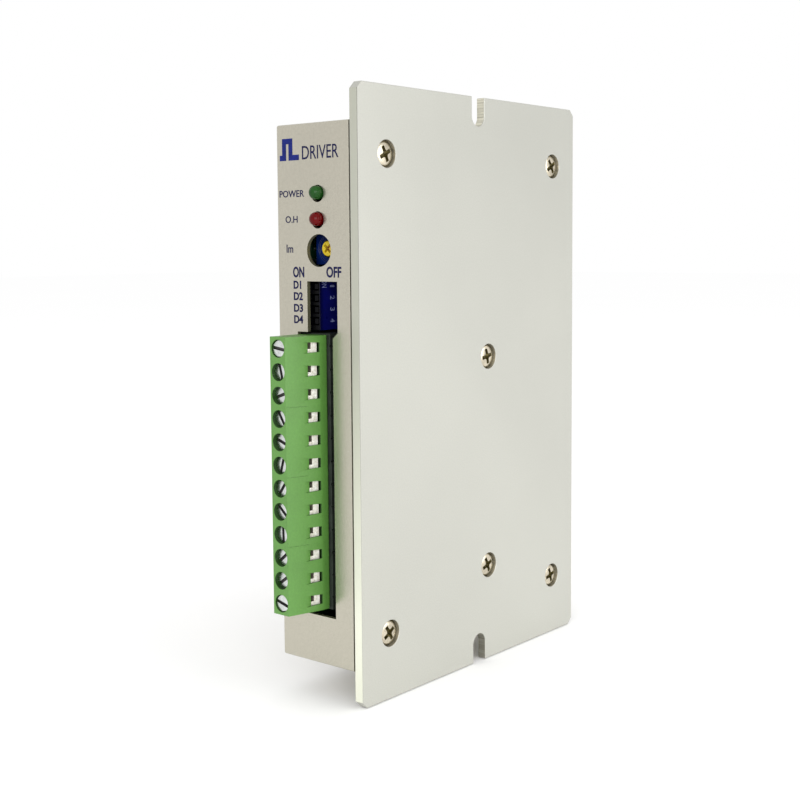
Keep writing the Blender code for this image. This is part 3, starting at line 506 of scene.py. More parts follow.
# Painted light and shade: the plate's front edge face, lighter than the plate and darker towards the top
FRONT_EDGE_LIGHT_SHADE = surface("front_edge_painted_light_shade", (0.82, 0.83, 0.7), 0.4, 0.5, 0.05, 18, 0.012, 3500, 0.08)
# Slot walls: real milling streaks, with painted shade darkening the lower slot and painted light on the upper
# one
MILLED_AND_SHADED = surface("milled_wall_painted_shade", (0.3, 0.29, 0.24), 0.4, 0.6, 0.3, 600, 0.03, 5000, 0.2, stretch=(0.1, 1, 4))
ZINC = surface("zinc_screw", (0.62, 0.64, 0.63), 0.26, 1.0, 0.14, 900, 0.05, 6000, 0.25)
SLOT_SHADE = surface("slot_shade", (0.085, 0.078, 0.08), 0.4, 0.6, 0.3, 900, 0.04, 5000, 0.2)
TINNED = surface("tinned_clamp", (0.92, 0.87, 0.72), 0.3, 0.3, 0.3, 1300, 0.06, 5000, 0.5)
GREEN = surface("green_polyamide", (0.09, 0.235, 0.042), 0.42, 0.0, 0.05, 120, 0.015, 2200, 0.12)
# Painted shade for the walls of the plug's screw holes and wire entries
GREEN_SHADE = surface("green_hole_painted_shade", (0.02, 0.06, 0.012), 0.5, 0.0, 0.15, 300, 0.02, 2200, 0.12,
                      specular=0.2)
# Painted shade: dark, for the cut edges of the cover's front openings
CUT_EDGE_SHADE = surface("cut_edge_painted_shade", (0.17, 0.165, 0.1), 0.4, 0.5, 0.12, 300, 0.02, 2200, 0.1)
DEEP_BLACK = surface("switch_black", (0.002, 0.002, 0.003), 0.3, 0.0, 0.2, 300, 0.02, 3000, 0.1,
                     specular=0.08)
RIM = surface("header_grey", (0.024, 0.03, 0.024), 0.42, 0.0, 0.35, 250, 0.03, 2500, 0.3, specular=0.25)
LAMINATE = surface("board_laminate", (0.004, 0.028, 0.012), 0.4, 0.0, 0.3, 350, 0.03, 2500, 0.2, specular=0.2)
NYLON = surface("natural_nylon", (0.72, 0.71, 0.64), 0.45, 0.0, 0.05, 200, 0.02, 2500, 0.1)
BLUE = surface("blue_plastic", (0.003, 0.004, 0.11), 0.3, 0.0, 0.15, 300, 0.02, 2500, 0.1, specular=0.25)
NAVY = surface("navy_plastic", (0.0015, 0.01, 0.075), 0.3, 0.0, 0.4, 300, 0.02, 2500, 0.15, specular=0.3)
YELLOW = surface("yellow_rotor", (0.62, 0.46, 0.02), 0.4, 0.0, 0.12, 700, 0.03, 3000, 0.15, specular=0.3)
DARK_RED = surface("rotor_base", (0.16, 0.02, 0.008), 0.5, 0.0, 0.3, 900, 0.03, 4000, 0.2)
LENS_GREEN = surface("green_lens", (0.009, 0.052, 0.007), 0.1, 0.0, 0.35, 500, 0.02, 3000, 0.03,
                     specular=0.18)
LENS_RED = surface("red_lens", (0.085, 0.0003, 0.001), 0.1, 0.0, 0.35, 500, 0.02, 3000, 0.03, specular=0.15)
INK = surface("navy_ink", (0.003, 0.0045, 0.045), 0.6, 0.0, 0.15, 500, 0.03, 4000, 0.1, specular=0.15)
MARK_BLUE = surface("mark_blue", (0.006, 0.013, 0.13), 0.6, 0.0, 0.25, 500, 0.03, 4000, 0.1, specular=0.15)
PALE_INK = surface("pale_ink", (0.3, 0.34, 0.62), 0.5, 0.0, 0.12, 500, 0.03, 4000, 0.1)
SILICONE = surface("grey_silicone", (0.4, 0.42, 0.42), 0.75, 0.0, 0.06, 300, 0.02, 2500, 0.2)
EPOXY = surface("black_epoxy", (0.03, 0.03, 0.03), 0.55, 0.0, 0.15, 400, 0.03, 3500, 0.3)
SLEEVE = surface("dark_sleeve", (0.03, 0.03, 0.09), 0.3, 0.0, 0.1, 300, 0.02, 2500, 0.08, coat=0.3)
STEEL = surface("steel_bar", (0.45, 0.45, 0.45), 0.35, 1.0, 0.1, 200, 0.03, 4000, 0.15, stretch=(1, 1, 0.1))


def fade(material, axis, start, end, end_tone):
    """Multiplies a surface's colour by a tone along X, Y or Z: 1 at start and end_tone at end."""
    tree = material.node_tree
    shader = tree.nodes["Principled BSDF"]
    link = shader.inputs["Base Color"].links[0]
    place = tree.nodes.new("ShaderNodeTexCoord")
    split = tree.nodes.new("ShaderNodeSeparateXYZ")
    tree.links.new(place.outputs["Object"], split.inputs["Vector"])
    tone = tree.nodes.new("ShaderNodeMapRange")
    tone.inputs["From Min"].default_value = start
    tone.inputs["From Max"].default_value = end
    tone.inputs["To Min"].default_value = 1.0
    tone.inputs["To Max"].default_value = end_tone
    tree.links.new(split.outputs[axis], tone.inputs["Value"])
    mixed = tree.nodes.new("ShaderNodeMix")
    mixed.data_type = "RGBA"
    mixed.blend_type = "MULTIPLY"
    mixed.inputs["Factor"].default_value = 1.0
    tree.links.new(link.from_socket, mixed.inputs["A"])
    tree.links.new(tone.outputs["Result"], mixed.inputs["B"])
    tree.links.new(mixed.outputs["Result"], shader.inputs["Base Color"])


# Painted shade: the plate's colour darkens towards its top
fade(PLATE_METAL, "Z", -60 * MM, 60 * MM, 0.87)
# Painted reflection on the plate's front edge bevel: darker towards the top
fade(RIM_REFLECTION, "Z", -60 * MM, 45 * MM, 0.28)
# Painted light: the cover grows lighter towards its bottom, like light thrown up from the floor
fade(ENAMEL, "Z", -15 * MM, -60 * MM, 1.08)
# Painted light and shade on the slot walls: lighter towards the top
fade(MILLED_AND_SHADED, "Z", -30 * MM, 30 * MM, 1.9)
# Painted light and shade on the plate's front edge: lighter at the bottom, darker towards the top
fade(FRONT_EDGE_LIGHT_SHADE, "Z", -50 * MM, 10 * MM, 0.52)
# Painted shadow: the switch's blue top darkens towards its front edge, where the cover's sheet shades it
fade(BLUE, "Y", DIP_FRONT + 1.5 * MM, DIP_FRONT, 0.12)


# ---------------------------------------------------------------- base plate and cover

def screw_centres():
    names = [f"plate_screw_{number}" for number in range(1, 5)] + ["clamp_screw_1", "clamp_screw_2"]
    centres = {}
    for name in names:
        low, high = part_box(name)
        centres[name] = ((low.y + high.y) / 2, (low.z + high.z) / 2)
    return centres


def make_base_plate():
    half_width = PLATE_HIGH.y
    half_height = PLATE_HIGH.z
    slot_end = half_height - SLOT_DEPTH + SLOT_WIDTH / 2
    half_slot = SLOT_WIDTH / 2
    top = [(half_width, half_height - PLATE_CHAMFER), (half_width - PLATE_CHAMFER, half_height)]
    top += [(SLOT_Y + half_slot, half_height)]
    top += arc((SLOT_Y, slot_end), half_slot, 360, 180, 28)
    top += [(SLOT_Y - half_slot, half_height)]
    top += [(-half_width + PLATE_CHAMFER, half_height), (-half_width, half_height - PLATE_CHAMFER)]
    outline = top + [(y, -z) for y, z in reversed(top)]
    counterbores = bmesh.new()
    holes = bmesh.new()
    for centre in screw_centres().values():
        prism(circle(centre, COUNTERBORE_RADIUS, 56), "X", -COUNTERBORE_DEPTH, MM, counterbores)
        prism(circle(centre, THREAD_HOLE_RADIUS, 32), "X", PLATE_LOW.x - MM, -MM, holes)
    made = piece("aluminium_plate", prism(outline, "X", PLATE_LOW.x, 0), PLATE_METAL, "module",
                 (counterbores, holes), PLATE_EDGE, 3, ("base_plate",))
    finishes = (BORE, MILLED_AND_SHADED, RIM_REFLECTION, FRONT_EDGE_LIGHT_SHADE)
    bore, milled_and_shaded, rim, front_edge_painted_light_shade = (add_finish(made, finish) for finish in finishes)
    centres = list(screw_centres().values())
    for face in made.data.polygons:
        middle = face.center
        at_rim = middle.x > -RIM_DEPTH
        # Painted reflection on the bevel between the front edge and the outer face
        if at_rim and middle.y < -half_width + PLATE_EDGE and face.normal.x < 0.95:
            face.material_index = rim
        # Painted light and shade on the plate's front edge face
        if face.normal.y < -0.9 and middle.y < -half_width + SKIN:
            face.material_index = front_edge_painted_light_shade
        if at_rim:
            continue
        # Slot walls get the milled colour with painted light and shade
        if abs(middle.y - SLOT_Y) < half_slot + GAP and abs(middle.z) > slot_end - half_slot - GAP:
            face.material_index = milled_and_shaded if face.normal.x < 0.5 else 0
        for y, z in centres:
            if math.hypot(middle.y - y, middle.z - z) < COUNTERBORE_RADIUS + CLOSE and face.normal.x > -0.5:
                face.material_index = bore


def make_plate_screws():
    """Pan heads with a cross recess whose arms narrow towards the bottom."""
    dome_radius = HEAD_RADIUS - DOME_INSET
    for name, (y, z) in screw_centres().items():
        low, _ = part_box(name)
        profile = [(0, low.x), (SHANK_TIP_RADIUS, low.x), (SHANK_RADIUS, low.x + SHANK_TIP_LENGTH)]
        profile += [(SHANK_RADIUS, HEAD_SEAT_X), (HEAD_RADIUS, HEAD_SEAT_X), (HEAD_RADIUS, HEAD_RIM_X)]
        profile += [(HEAD_RADIUS - HEAD_CORNER, HEAD_RIM_X + HEAD_CORNER)]
        for step in range(DOME_STEPS):
            angle = math.radians(90 * step / DOME_STEPS)
            radius = dome_radius * math.cos(angle) ** DOME_POWER + DOME_FLAT
            profile.append((radius, DOME_BASE_X + (HEAD_TOP_X - DOME_BASE_X) * math.sin(angle)))
        profile.append((0, HEAD_TOP_X))
        spin = Matrix.Rotation(math.radians(random.uniform(*RECESS_TURN)), 4, "X")
        rings = []
        for depth, arm, half in RECESS_LEVELS:
            level = HEAD_TOP_X + depth * MM
            corners = cross_corners(arm, half, RECESS_FILLET, 0)
            rings.append([(level, corner_y * MM, corner_z * MM) for corner_y, corner_z in corners])
        recess = moved(loft(rings), (0, y, z), spin)
        screw = moved(turned(profile, "X"), (0, y, z))
        made = piece(f"{name}_head", screw, NICKEL, "module", (recess,), replaces=(name,))
        paint_recess(made, (y, z))


def paint_recess(made, centre):
    """Paints shade into a screw's cross recess: its walls and bottom get a dark, uneven colour."""
    shade = add_finish(made, RECESS_SHADE)
    for face in made.data.polygons:
        middle = face.center
        distance = math.hypot(middle.y - centre[0], middle.z - centre[1])
        steep = math.hypot(face.normal.y, face.normal.z) > 0.75
        floor = middle.x < HEAD_TOP_X - RECESS_FLOOR_DEPTH
        if distance < RECESS_REACH and middle.x > HEAD_SEAT_X + CLOSE and (steep or floor):
            face.material_index = shade


def window_outline():
    return [
        (CUTOUT_X[0], CUTOUT_Z[0]),
        (CUTOUT_X[1], CUTOUT_Z[0]),
        (CUTOUT_X[1], CUTOUT_Z[1] - CUTOUT_CORNER),
        (WINDOW_X[1], CUTOUT_Z[1]),
        (WINDOW_X[1], WINDOW_TOP),
        (WINDOW_X[0], WINDOW_TOP),
        (WINDOW_X[0], CUTOUT_Z[1]),
        (CUTOUT_X[0], CUTOUT_Z[1]),
    ]


def rounded_box(low, high, radius, steps, open_side):
    """Box with rounded corners along X and a rounded back, square at its open rim."""
    def ring(x, inset):
        corner = max(radius - inset, GAP)
        y_low, y_high = low.y + inset, high.y - inset
        z_low, z_high = low.z + inset, high.z - inset
        points = []
        for centre, start in (
            ((y_high - corner, z_high - corner), 0),
            ((y_low + corner, z_high - corner), 90),
            ((y_low + corner, z_low + corner), 180),
            ((y_high - corner, z_low + corner), 270),
        ):
            points += [(x, y, z) for y, z in arc(centre, corner, start, start + 90, steps)]
        return points
    rings = []
    for step in range(steps + 1):
        angle = math.radians(90 * step / steps)
        rings.append(ring(low.x + radius * (1 - math.sin(angle)), radius * (1 - math.cos(angle)) * 0.98))
    rings.reverse()
    rings.append(ring(open_side, 0))
    return loft(rings)


def make_cover():
    body = rounded_box(COVER_LOW, COVER_HIGH, FOLD_RADIUS, 6, COVER_HIGH.x)
    wall = Vector((SHEET, SHEET, SHEET))
    inner_low = COVER_LOW + wall
    inner_high = COVER_HIGH - wall
    cavity = rounded_box(inner_low, inner_high, INNER_FOLD_RADIUS, 3, inner_high.x)
    mouth_z = inner_high.z - FLANGE_WIDTH
    mouth_y = inner_high.y - FLANGE_GAP
    quarter = [(inner_high.y, inner_high.z), (mouth_y, inner_high.z), (mouth_y, mouth_z)]
    outline = quarter + [(-y, z) for y, z in reversed(quarter)]
    outline += [(-y, -z) for y, z in quarter] + [(y, -z) for y, z in reversed(quarter)]
    open_side = (inner_high.x - CUT_MARGIN, COVER_HIGH.x + MM)
    mouth = prism(outline, "X", *open_side)
    reach = (FRONT_Y - MM, FRONT_Y + SHEET + INNER_FOLD_RADIUS)
    openings = prism(window_outline(), "Y", *reach)
    for name in ("led_green", "led_red"):
        x, z = lamp_centre(name)
        prism(circle((x, z - LED_HOLE_DROP), LED_HOLE_RADIUS, 48), "Y", *reach, openings)
    prism(circle(TRIMMER_HOLE_CENTRE, TRIMMER_HOLE_RADIUS, 72), "Y", *reach, openings)
    threads = bmesh.new()
    seams = bmesh.new()
    for name, centre in screw_centres().items():
        if name.startswith("plate"):
            prism(circle(centre, THREAD_HOLE_RADIUS, 32), "X", *open_side, threads)
    for end in (-1, 1):
        for side in (-1, 1):
            seam_y = side * (COVER_HIGH.y - SHEET)
            skin = sorted((end * (COVER_HIGH.z - SEAM_DEPTH), end * (COVER_HIGH.z + MM)))
            span = (seam_y - SEAM_HALF, seam_y + SEAM_HALF)
            block((COVER_LOW.x + FOLD_RADIUS, COVER_HIGH.x + MM), span, skin, seams)
    made = piece("folded_cover", body, ENAMEL, "module",
                 (cavity, mouth, threads, openings, seams), edge=0.08 * MM, replaces=("cover",))
    paint_cover(made)


def paint_cover(made):
    """Painted shade: nearly black on the inside of the cover, and dark on the cut edges of the front wall's
    openings.
    """
    painted_inside_shade = add_finish(made, INSIDE_SHADE)
    cut_edge_painted_shade = add_finish(made, CUT_EDGE_SHADE)
    depth = 0.9 * SHEET
    opening_x = (CUTOUT_X[0] - MM, WINDOW_X[1] + MM)
    opening_z = COVER_HIGH.z - 2 * MM
    for face in made.data.polygons:
        middle = face.center
        in_sheet = COVER_LOW.y + SKIN < middle.y < COVER_LOW.y + depth
        # Painted shade on the cut edges of the openings
        if in_sheet and opening_x[0] < middle.x < opening_x[1] and abs(middle.z) < opening_z:
            face.material_index = cut_edge_painted_shade
        inside_y = COVER_LOW.y + depth < middle.y < COVER_HIGH.y - depth
        inside_z = COVER_LOW.z + depth < middle.z < COVER_HIGH.z - depth
        # Painted shade on all faces inside the cover
        if inside_y and inside_z and COVER_LOW.x + depth < middle.x < COVER_HIGH.x - depth:
            face.material_index = painted_inside_shade


# ---------------------------------------------------------------- front panel parts

def lamp_centre(name):
    """X and Z of a lamp, whose rim reaches the high X of its box."""
    low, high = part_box(name)
    return high.x - LAMP_RIM_RADIUS, (low.z + high.z) / 2


def make_lamps():
    for name, material, slot in (("led_green", LENS_GREEN, "green_lens"), ("led_red", LENS_RED, "red_lens")):
        x, z = lamp_centre(name)
        low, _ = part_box(name)
        profile = [(0, low.y)]
        for step in range(1, LENS_STEPS + 1):
            angle = math.radians(90 * step / LENS_STEPS)
            profile.append((LENS_RADIUS * math.sin(angle), low.y + LENS_DOME * (1 - math.cos(angle))))
        rim = low.y + LENS_LENGTH
        rim_end = rim + LAMP_RIM_WIDTH
        profile += [(LENS_RADIUS, rim), (LAMP_RIM_RADIUS - LAMP_RIM_BEVEL / 2, rim)]
        profile += [(LAMP_RIM_RADIUS, rim + LAMP_RIM_BEVEL), (LAMP_RIM_RADIUS, rim_end - LAMP_RIM_BEVEL / 2)]
        profile += [(LAMP_RIM_RADIUS - LAMP_RIM_BEVEL, rim_end), (0, rim_end)]
        lens = moved(turned(profile, "Y"), (x, 0, z))
        made = piece(f"{name}_lens", lens, material, "module", replaces=(name,))
        made.data.set_sharp_from_angle(angle=math.radians(50))
        legs = bmesh.new()
        wire = LAMP_LEG_HALF
        start = rim_end + GAP
        for side in (-1, 1):
            middle = z + side * LAMP_LEG_PITCH / 2
            back = rim + LAMP_LEG_REACH + LAMP_LEG_STAGGER * side
            outline = [(x + wire, start), (x + wire, back + wire), (low.x, back + wire)]
            outline += [(low.x, back - wire), (x - wire, back - wire), (x - wire, start)]
            prism(outline, "Z", middle - wire, middle + wire, legs)
        piece(f"{name}_legs", legs, TINNED, "module", edge=0.06 * MM)


def make_trimmer():
    low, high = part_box("trimmer_body")
    rotor_low, rotor_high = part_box("trimmer_rotor")
    x = (rotor_low.x + rotor_high.x) / 2
    z = (rotor_low.z + rotor_high.z) / 2
    face = low.y
    bottom_x = high.x - TRIMMER_HEIGHT
    shell = block((bottom_x, high.x), (face, high.y), (low.z, high.z))
    pocket = prism(circle((x, z), TRIMMER_POCKET_RADIUS, 64), "Y", face - MM, face + TRIMMER_POCKET_DEPTH)
    inner, outer = TRIMMER_GROOVE_RADII
    depth = TRIMMER_GROOVE_DEPTH
    section = [(inner, -MM), (outer, -MM), (outer, depth), (inner, depth), (inner, -MM)]
    groove = moved(turned(section, "Y", 64), (x, face, z))
    piece("trimmer_case", shell, NAVY, "module", (pocket, groove), edge=0.15 * MM,
          replaces=("trimmer_body",))
    pins = bmesh.new()
    half = TRIMMER_PIN_HALF
    for pin_y, pin_z in TRIMMER_PINS:
        y_span = (face + pin_y - half, face + pin_y + half)
        z_span = (z + pin_z - half, z + pin_z + half)
        block((low.x, bottom_x - CLOSE), y_span, z_span, pins)
    piece("trimmer_pins", pins, STEEL, "module", edge=0.05 * MM)
    profile = [(0, 0), (KNOB_EDGE_RADIUS, 0), (KNOB_RADIUS, KNOB_EDGE)]
    profile += [(KNOB_RADIUS, KNOB_LENGTH), (0, KNOB_LENGTH)]
    rings = []
    for level, arm, half_arm in KNOB_CROSS_LEVELS:
        corners = cross_corners(arm, half_arm, 0, 45)
        rings.append([(corner_x * MM, level * MM, corner_z * MM) for corner_x, corner_z in corners])
    place = (x, rotor_low.y, z)
    cross = moved(loft(rings), place)
    piece("trimmer_knob", moved(turned(profile, "Y"), place), YELLOW, "trimmer",
          (cross,), edge=0.04 * MM, segments=1, replaces=("trimmer_rotor",))
    front, back = KNOB_FLOOR
    floor = turned([(0, front), (KNOB_FLOOR_RADIUS, front), (KNOB_FLOOR_RADIUS, back), (0, back)], "Y")
    piece("trimmer_recess_floor", moved(floor, place), DARK_RED, "trimmer")


def make_dip_switch():
    low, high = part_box("dip_body")
    levers = [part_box(f"dip_lever_{number}") for number in range(1, 5)]
    slots = bmesh.new()
    for lever_low, lever_high in levers:
        z = (lever_low.z + lever_high.z) / 2
        y_span = (low.y - MM, lever_high.y + LEVER_PLAY)
        block(LEVER_SLOT_X, y_span, (z - LEVER_SLOT_HALF, z + LEVER_SLOT_HALF), slots)
    case = piece("dip_case", block((low.x, high.x), (low.y, high.y), (low.z, high.z)), BLUE, "module",
                 (slots,), edge=0.15 * MM, replaces=("dip_body",))
    black = add_finish(case, DEEP_BLACK)
    for face in case.data.polygons:
        in_front = face.normal.y < -0.6 or face.center.x < high.x - BLUE_SKIN
        in_slot = face.center.x < high.x - SLOT_SKIN and abs(face.normal.z) > 0.5
        if in_front or in_slot:
            face.material_index = black
    for number, (lever_low, lever_high) in enumerate(levers, 1):
        refinish(f"dip_lever_{number}", DEEP_BLACK)
        z = (lever_low.z + lever_high.z) / 2
        digit_width = DIGIT_ONE_WIDTH if number == 1 else DIGIT_WIDTH
        lettering(f"dip_digit_{number}", str(number), DIGIT_HEIGHT, digit_width,
                  (high.x + FILM, DIGIT_Y, z), "side", PALE_INK, "module")
    top_z = (levers[0][0].z + levers[0][1].z) / 2
    lettering("dip_on_mark", "ON", ON_MARK_HEIGHT, ON_MARK_WIDTH,
              (high.x + FILM, ON_MARK_Y, top_z + ON_MARK_RISE), "side", PALE_INK, "module")


def make_pulse_mark():
    """A plain square-pulse sign, printed where a maker's sign would be."""
    left, bottom, height, stroke, step = PULSE_MARK
    top = bottom + height
    right = left + 2 * step
    outline = [(left, bottom), (left + step, bottom), (left + step, top - stroke)]
    outline += [(right - stroke, top - stroke), (right - stroke, bottom)]
    outline += [(right + step, bottom), (right + step, bottom + stroke)]
    outline += [(right, bottom + stroke), (right, top)]
    outline += [(left + step - stroke, top), (left + step - stroke, bottom + stroke), (left, bottom + stroke)]
    mark = prism([(x * MM, z * MM) for x, z in outline], "Y", FRONT_Y - PULSE_FILM, FRONT_Y + FILM)
    piece("pulse_mark", mark, MARK_BLUE, "module")


def make_panel_lettering():
    for name, text, x, z, width, height, weight in LABELS:
        lettering(name, text, height * MM, width * MM, (x * MM, FRONT_Y - FILM, z * MM), "front",
                  INK, "module", weight)


# ---------------------------------------------------------------- terminal block

def pole_heights():
    heights = []
    for number in range(1, POLES + 1):
        low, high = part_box(f"terminal_screw_{number}")
        heights.append((low.z + high.z) / 2)
    return heights


def slanted_x(y):
    """X of the plug's wide face, which leans back towards the front and ends straight."""
    return PLUG_CORNER_X + PLUG_SLANT * (min(y, BEND_Y) - PLUG_LOW.y)


def from_front(distances):
    """Y span between two distances from the plug's front."""
    return PLUG_LOW.y + distances[0], PLUG_LOW.y + distances[1]


def make_plug():
    top = PLUG_HIGH.z
    bottom = PLUG_LOW.z
    outline = [
        (PLUG_LOW.x, PLUG_LOW.y),
        (PLUG_CORNER_X, PLUG_LOW.y),
        (slanted_x(BEND_Y), BEND_Y),
        (slanted_x(BEND_Y) + BEND_STEP, SHOULDER_Y),
        (STEM_X[1], SHOULDER_Y),
        (STEM_X[1], PLUG_HIGH.y),
        (STEM_X[0], PLUG_HIGH.y),
        (STEM_X[0], SHOULDER_Y),
        (PLUG_LOW.x, SHOULDER_Y),
    ]
    body = prism(outline, "Z", bottom, top)
    shoulders = bmesh.new()
    for z_span in ((bottom - MM, bottom + STEM_END_GAP), (top - STEM_END_GAP, top + MM)):
        block((PLUG_LOW.x - MM, PLUG_HIGH.x + MM), (SHOULDER_Y, PLUG_HIGH.y + MM), z_span, shoulders)
    screw_holes = bmesh.new()
    chambers = bmesh.new()
    funnels = bmesh.new()
    throats = bmesh.new()
    sockets = bmesh.new()
    chamber_y = from_front(CHAMBER_FROM_FRONT)
    throat_x = (THROAT_X, slanted_x(BEND_Y) + MM)
    socket_x = (PIN_X - SOCKET_HALF, PIN_X + SOCKET_HALF)
    for z in pole_heights():
        screw_hole(z, chamber_y[0] + OVERLAP, screw_holes)
        prism(chamber_outline(chamber_y), "Z", z - CHAMBER_HALF, z + CHAMBER_HALF, chambers)
        funnel_ring(z, funnels)
        block(throat_x, from_front(THROAT_FROM_FRONT), (z - THROAT_HALF, z + THROAT_HALF), throats)
        socket_z = (z - SOCKET_HALF, z + SOCKET_HALF)
        block(socket_x, (chamber_y[1] - OVERLAP, PLUG_HIGH.y + MM), socket_z, sockets)
    joints = bmesh.new()
    for third in (3, 6, 9):
        joint_line(top - third * PITCH, joints)
    made = piece("green_plug", body, GREEN, "plug",
                 (shoulders, chambers, screw_holes, funnels, throats, sockets, joints), edge=0.13 * MM,
                 replaces=("plug_housing",))
    paint_plug(made, chamber_y[1])


def screw_hole(z, end_y, into):
    """Hole for a pole screw's head, wider at its mouth."""
    levels = (PLUG_LOW.y - MM, PLUG_LOW.y + SCREW_HOLE_MOUTH, end_y)
    rings = []
    for y, radius in zip(levels, SCREW_HOLE_RADII):
        rings.append([(x, y, height) for x, height in circle((POLE_X, z), radius, 40)])
    loft(rings, into)


def chamber_outline(chamber_y):
    """Room for a wire clamp, which follows the slant of the wide face."""
    start, end = chamber_y
    outline = [(CHAMBER_X, start), (slanted_x(start) - CHAMBER_SKIN, start)]
    outline += [(slanted_x(BEND_Y) - CHAMBER_SKIN, BEND_Y), (slanted_x(BEND_Y) - CHAMBER_SKIN, end)]
    outline += [(CHAMBER_X, end)]
    return outline


def funnel_ring(z, into):
    """Lead-in of a wire entry: a ramp that deepens towards the back."""
    start, end = from_front(FUNNEL_FROM_FRONT)
    rings = []
    for y, depth, half in zip((start, start + FUNNEL_RUN, end), FUNNEL_DEPTHS, FUNNEL_HALVES):
        outer = slanted_x(y) + FUNNEL_PROUD
        inner = slanted_x(y) - depth
        rings.append([(inner, y, z - half), (outer, y, z - half), (outer, y, z + half), (inner, y, z + half)])
    loft(rings, into)


def joint_line(z, into):
    """Fine groove in the wide face, between two of the moulded parts of the plug."""
    start, end = PLUG_LOW.y - MM, PLUG_LOW.y + JOINT_LENGTH
    inner = PLUG_CORNER_X - JOINT_DEPTH - PLUG_SLANT * MM
    outer = PLUG_CORNER_X + MM
    low_z, high_z = z - JOINT_HALF, z + JOINT_HALF
    lean = PLUG_SLANT * (end - start)
    rings = []
    for y, shift in ((start, 0), (end, lean)):
        near, far = inner + shift, outer + shift
        rings.append([(near, y, low_z), (far, y, low_z), (far, y, high_z), (near, y, high_z)])
    loft(rings, into)


def paint_plug(made, chamber_end):
    """Shades the walls of the screw holes and of the wire entries."""
    shade = add_finish(made, GREEN_SHADE)
    heights = pole_heights()
    entry_y = from_front(ENTRY_FROM_FRONT)
    for face in made.data.polygons:
        middle = face.center
        nearest = min(abs(middle.z - z) for z in heights)
        in_hole = math.hypot(middle.x - POLE_X, nearest) < SHADE_RADIUS
        if in_hole and PLUG_LOW.y + SHADE_START < middle.y < chamber_end:
            face.material_index = shade
        depth = slanted_x(middle.y) - middle.x
        in_entry = entry_y[0] < middle.y < entry_y[1] and nearest < ENTRY_HALF and 0 < depth < ENTRY_DEPTH
        if in_entry and (face.normal.y < -0.7 or abs(face.normal.z) > 0.7):
            face.material_index = shade


def make_pole_screws():
    head = [(POLE_HEAD_RADIUS - inset, depth) for inset, depth in POLE_HEAD_CORNER]
    head += [(POLE_HEAD_RADIUS, POLE_HEAD_HEIGHT - GAP), (THREAD_CREST, POLE_HEAD_HEIGHT)]
    for number in range(1, POLES + 1):
        low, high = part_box(f"terminal_screw_{number}")
        z = (low.z + high.z) / 2
        end = high.y - low.y
        step = (end - POLE_HEAD_HEIGHT) / THREAD_TURNS
        profile = [(0, 0)] + head
        for turn in range(THREAD_TURNS):
            profile.append((THREAD_CREST, POLE_HEAD_HEIGHT + step * (turn + 0.1)))
            profile.append((THREAD_ROOT, POLE_HEAD_HEIGHT + step * (turn + 0.5)))
        profile += [(THREAD_TIP, end), (0, end)]
        angle = math.radians(-SLOT_ANGLES[number - 1])
        slot = block((-POLE_SLOT_REACH, POLE_SLOT_REACH), (-MM, POLE_SLOT_DEPTH),
                     (-POLE_SLOT_HALF, POLE_SLOT_HALF))
        spin = Matrix.Rotation(angle, 4, "Y")
        place = (POLE_X, low.y, z)
        made = piece(f"pole_screw_{number}", moved(turned(profile, "Y", 40), place), ZINC, f"screw_{number}",
                     (moved(slot, place, spin),), replaces=(f"terminal_screw_{number}",))
        shade = add_finish(made, SLOT_SHADE)
        across = spin @ Vector((0, 0, 1))
        for face in made.data.polygons:
            offset = (face.center - Vector(place)).dot(across)
            in_slot = 2 * CLOSE < face.center.y - low.y < POLE_SLOT_DEPTH + CLOSE
            if in_slot and abs(offset) < POLE_SLOT_HALF + CLOSE:
                face.material_index = shade


def make_wire_clamps():
    for number in range(1, POLES + 1):
        low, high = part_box(f"wire_clamp_{number}")
        z = (low.z + high.z) / 2
        lean = PLUG_SLANT * (high.y - low.y)
        outline = [(low.x, low.y), (high.x - lean, low.y), (high.x, high.y), (low.x, high.y)]
        cage = prism(outline, "Z", low.z, high.z)
        mouth_y = (low.y + CLAMP_WALL, high.y - CLAMP_MOUTH_BACK)
        mouth_z = (z - CLAMP_MOUTH_LOW, z + CLAMP_ROOM_HALF)
        room_y = (mouth_y[0], low.y + CLAMP_ROOM_LENGTH)
        through_x = (low.x - MM, high.x + MM)
        mouth = block(through_x, mouth_y, mouth_z)
        screw_room = block(through_x, room_y, (z - CLAMP_ROOM_HALF, z + CLAMP_ROOM_HALF))
        thread = prism(circle((POLE_X, z), CLAMP_ROOM_HALF, 24), "Y", low.y - MM, low.y + MM)
        made = piece(f"clamp_cage_{number}", cage, TINNED, f"clamp_{number}",
                     (screw_room, mouth, thread), edge=0.12 * MM, replaces=(f"wire_clamp_{number}",))
        shade = add_finish(made, BORE)
        for face in made.data.polygons:
            middle = face.center
            in_mouth = mouth_y[0] - CLOSE < middle.y < mouth_y[1] + CLOSE
            in_mouth = in_mouth and mouth_z[0] - CLOSE < middle.z < mouth_z[1] + CLOSE
            if in_mouth and abs(face.normal.x) < 0.5:
                face.material_index = shade


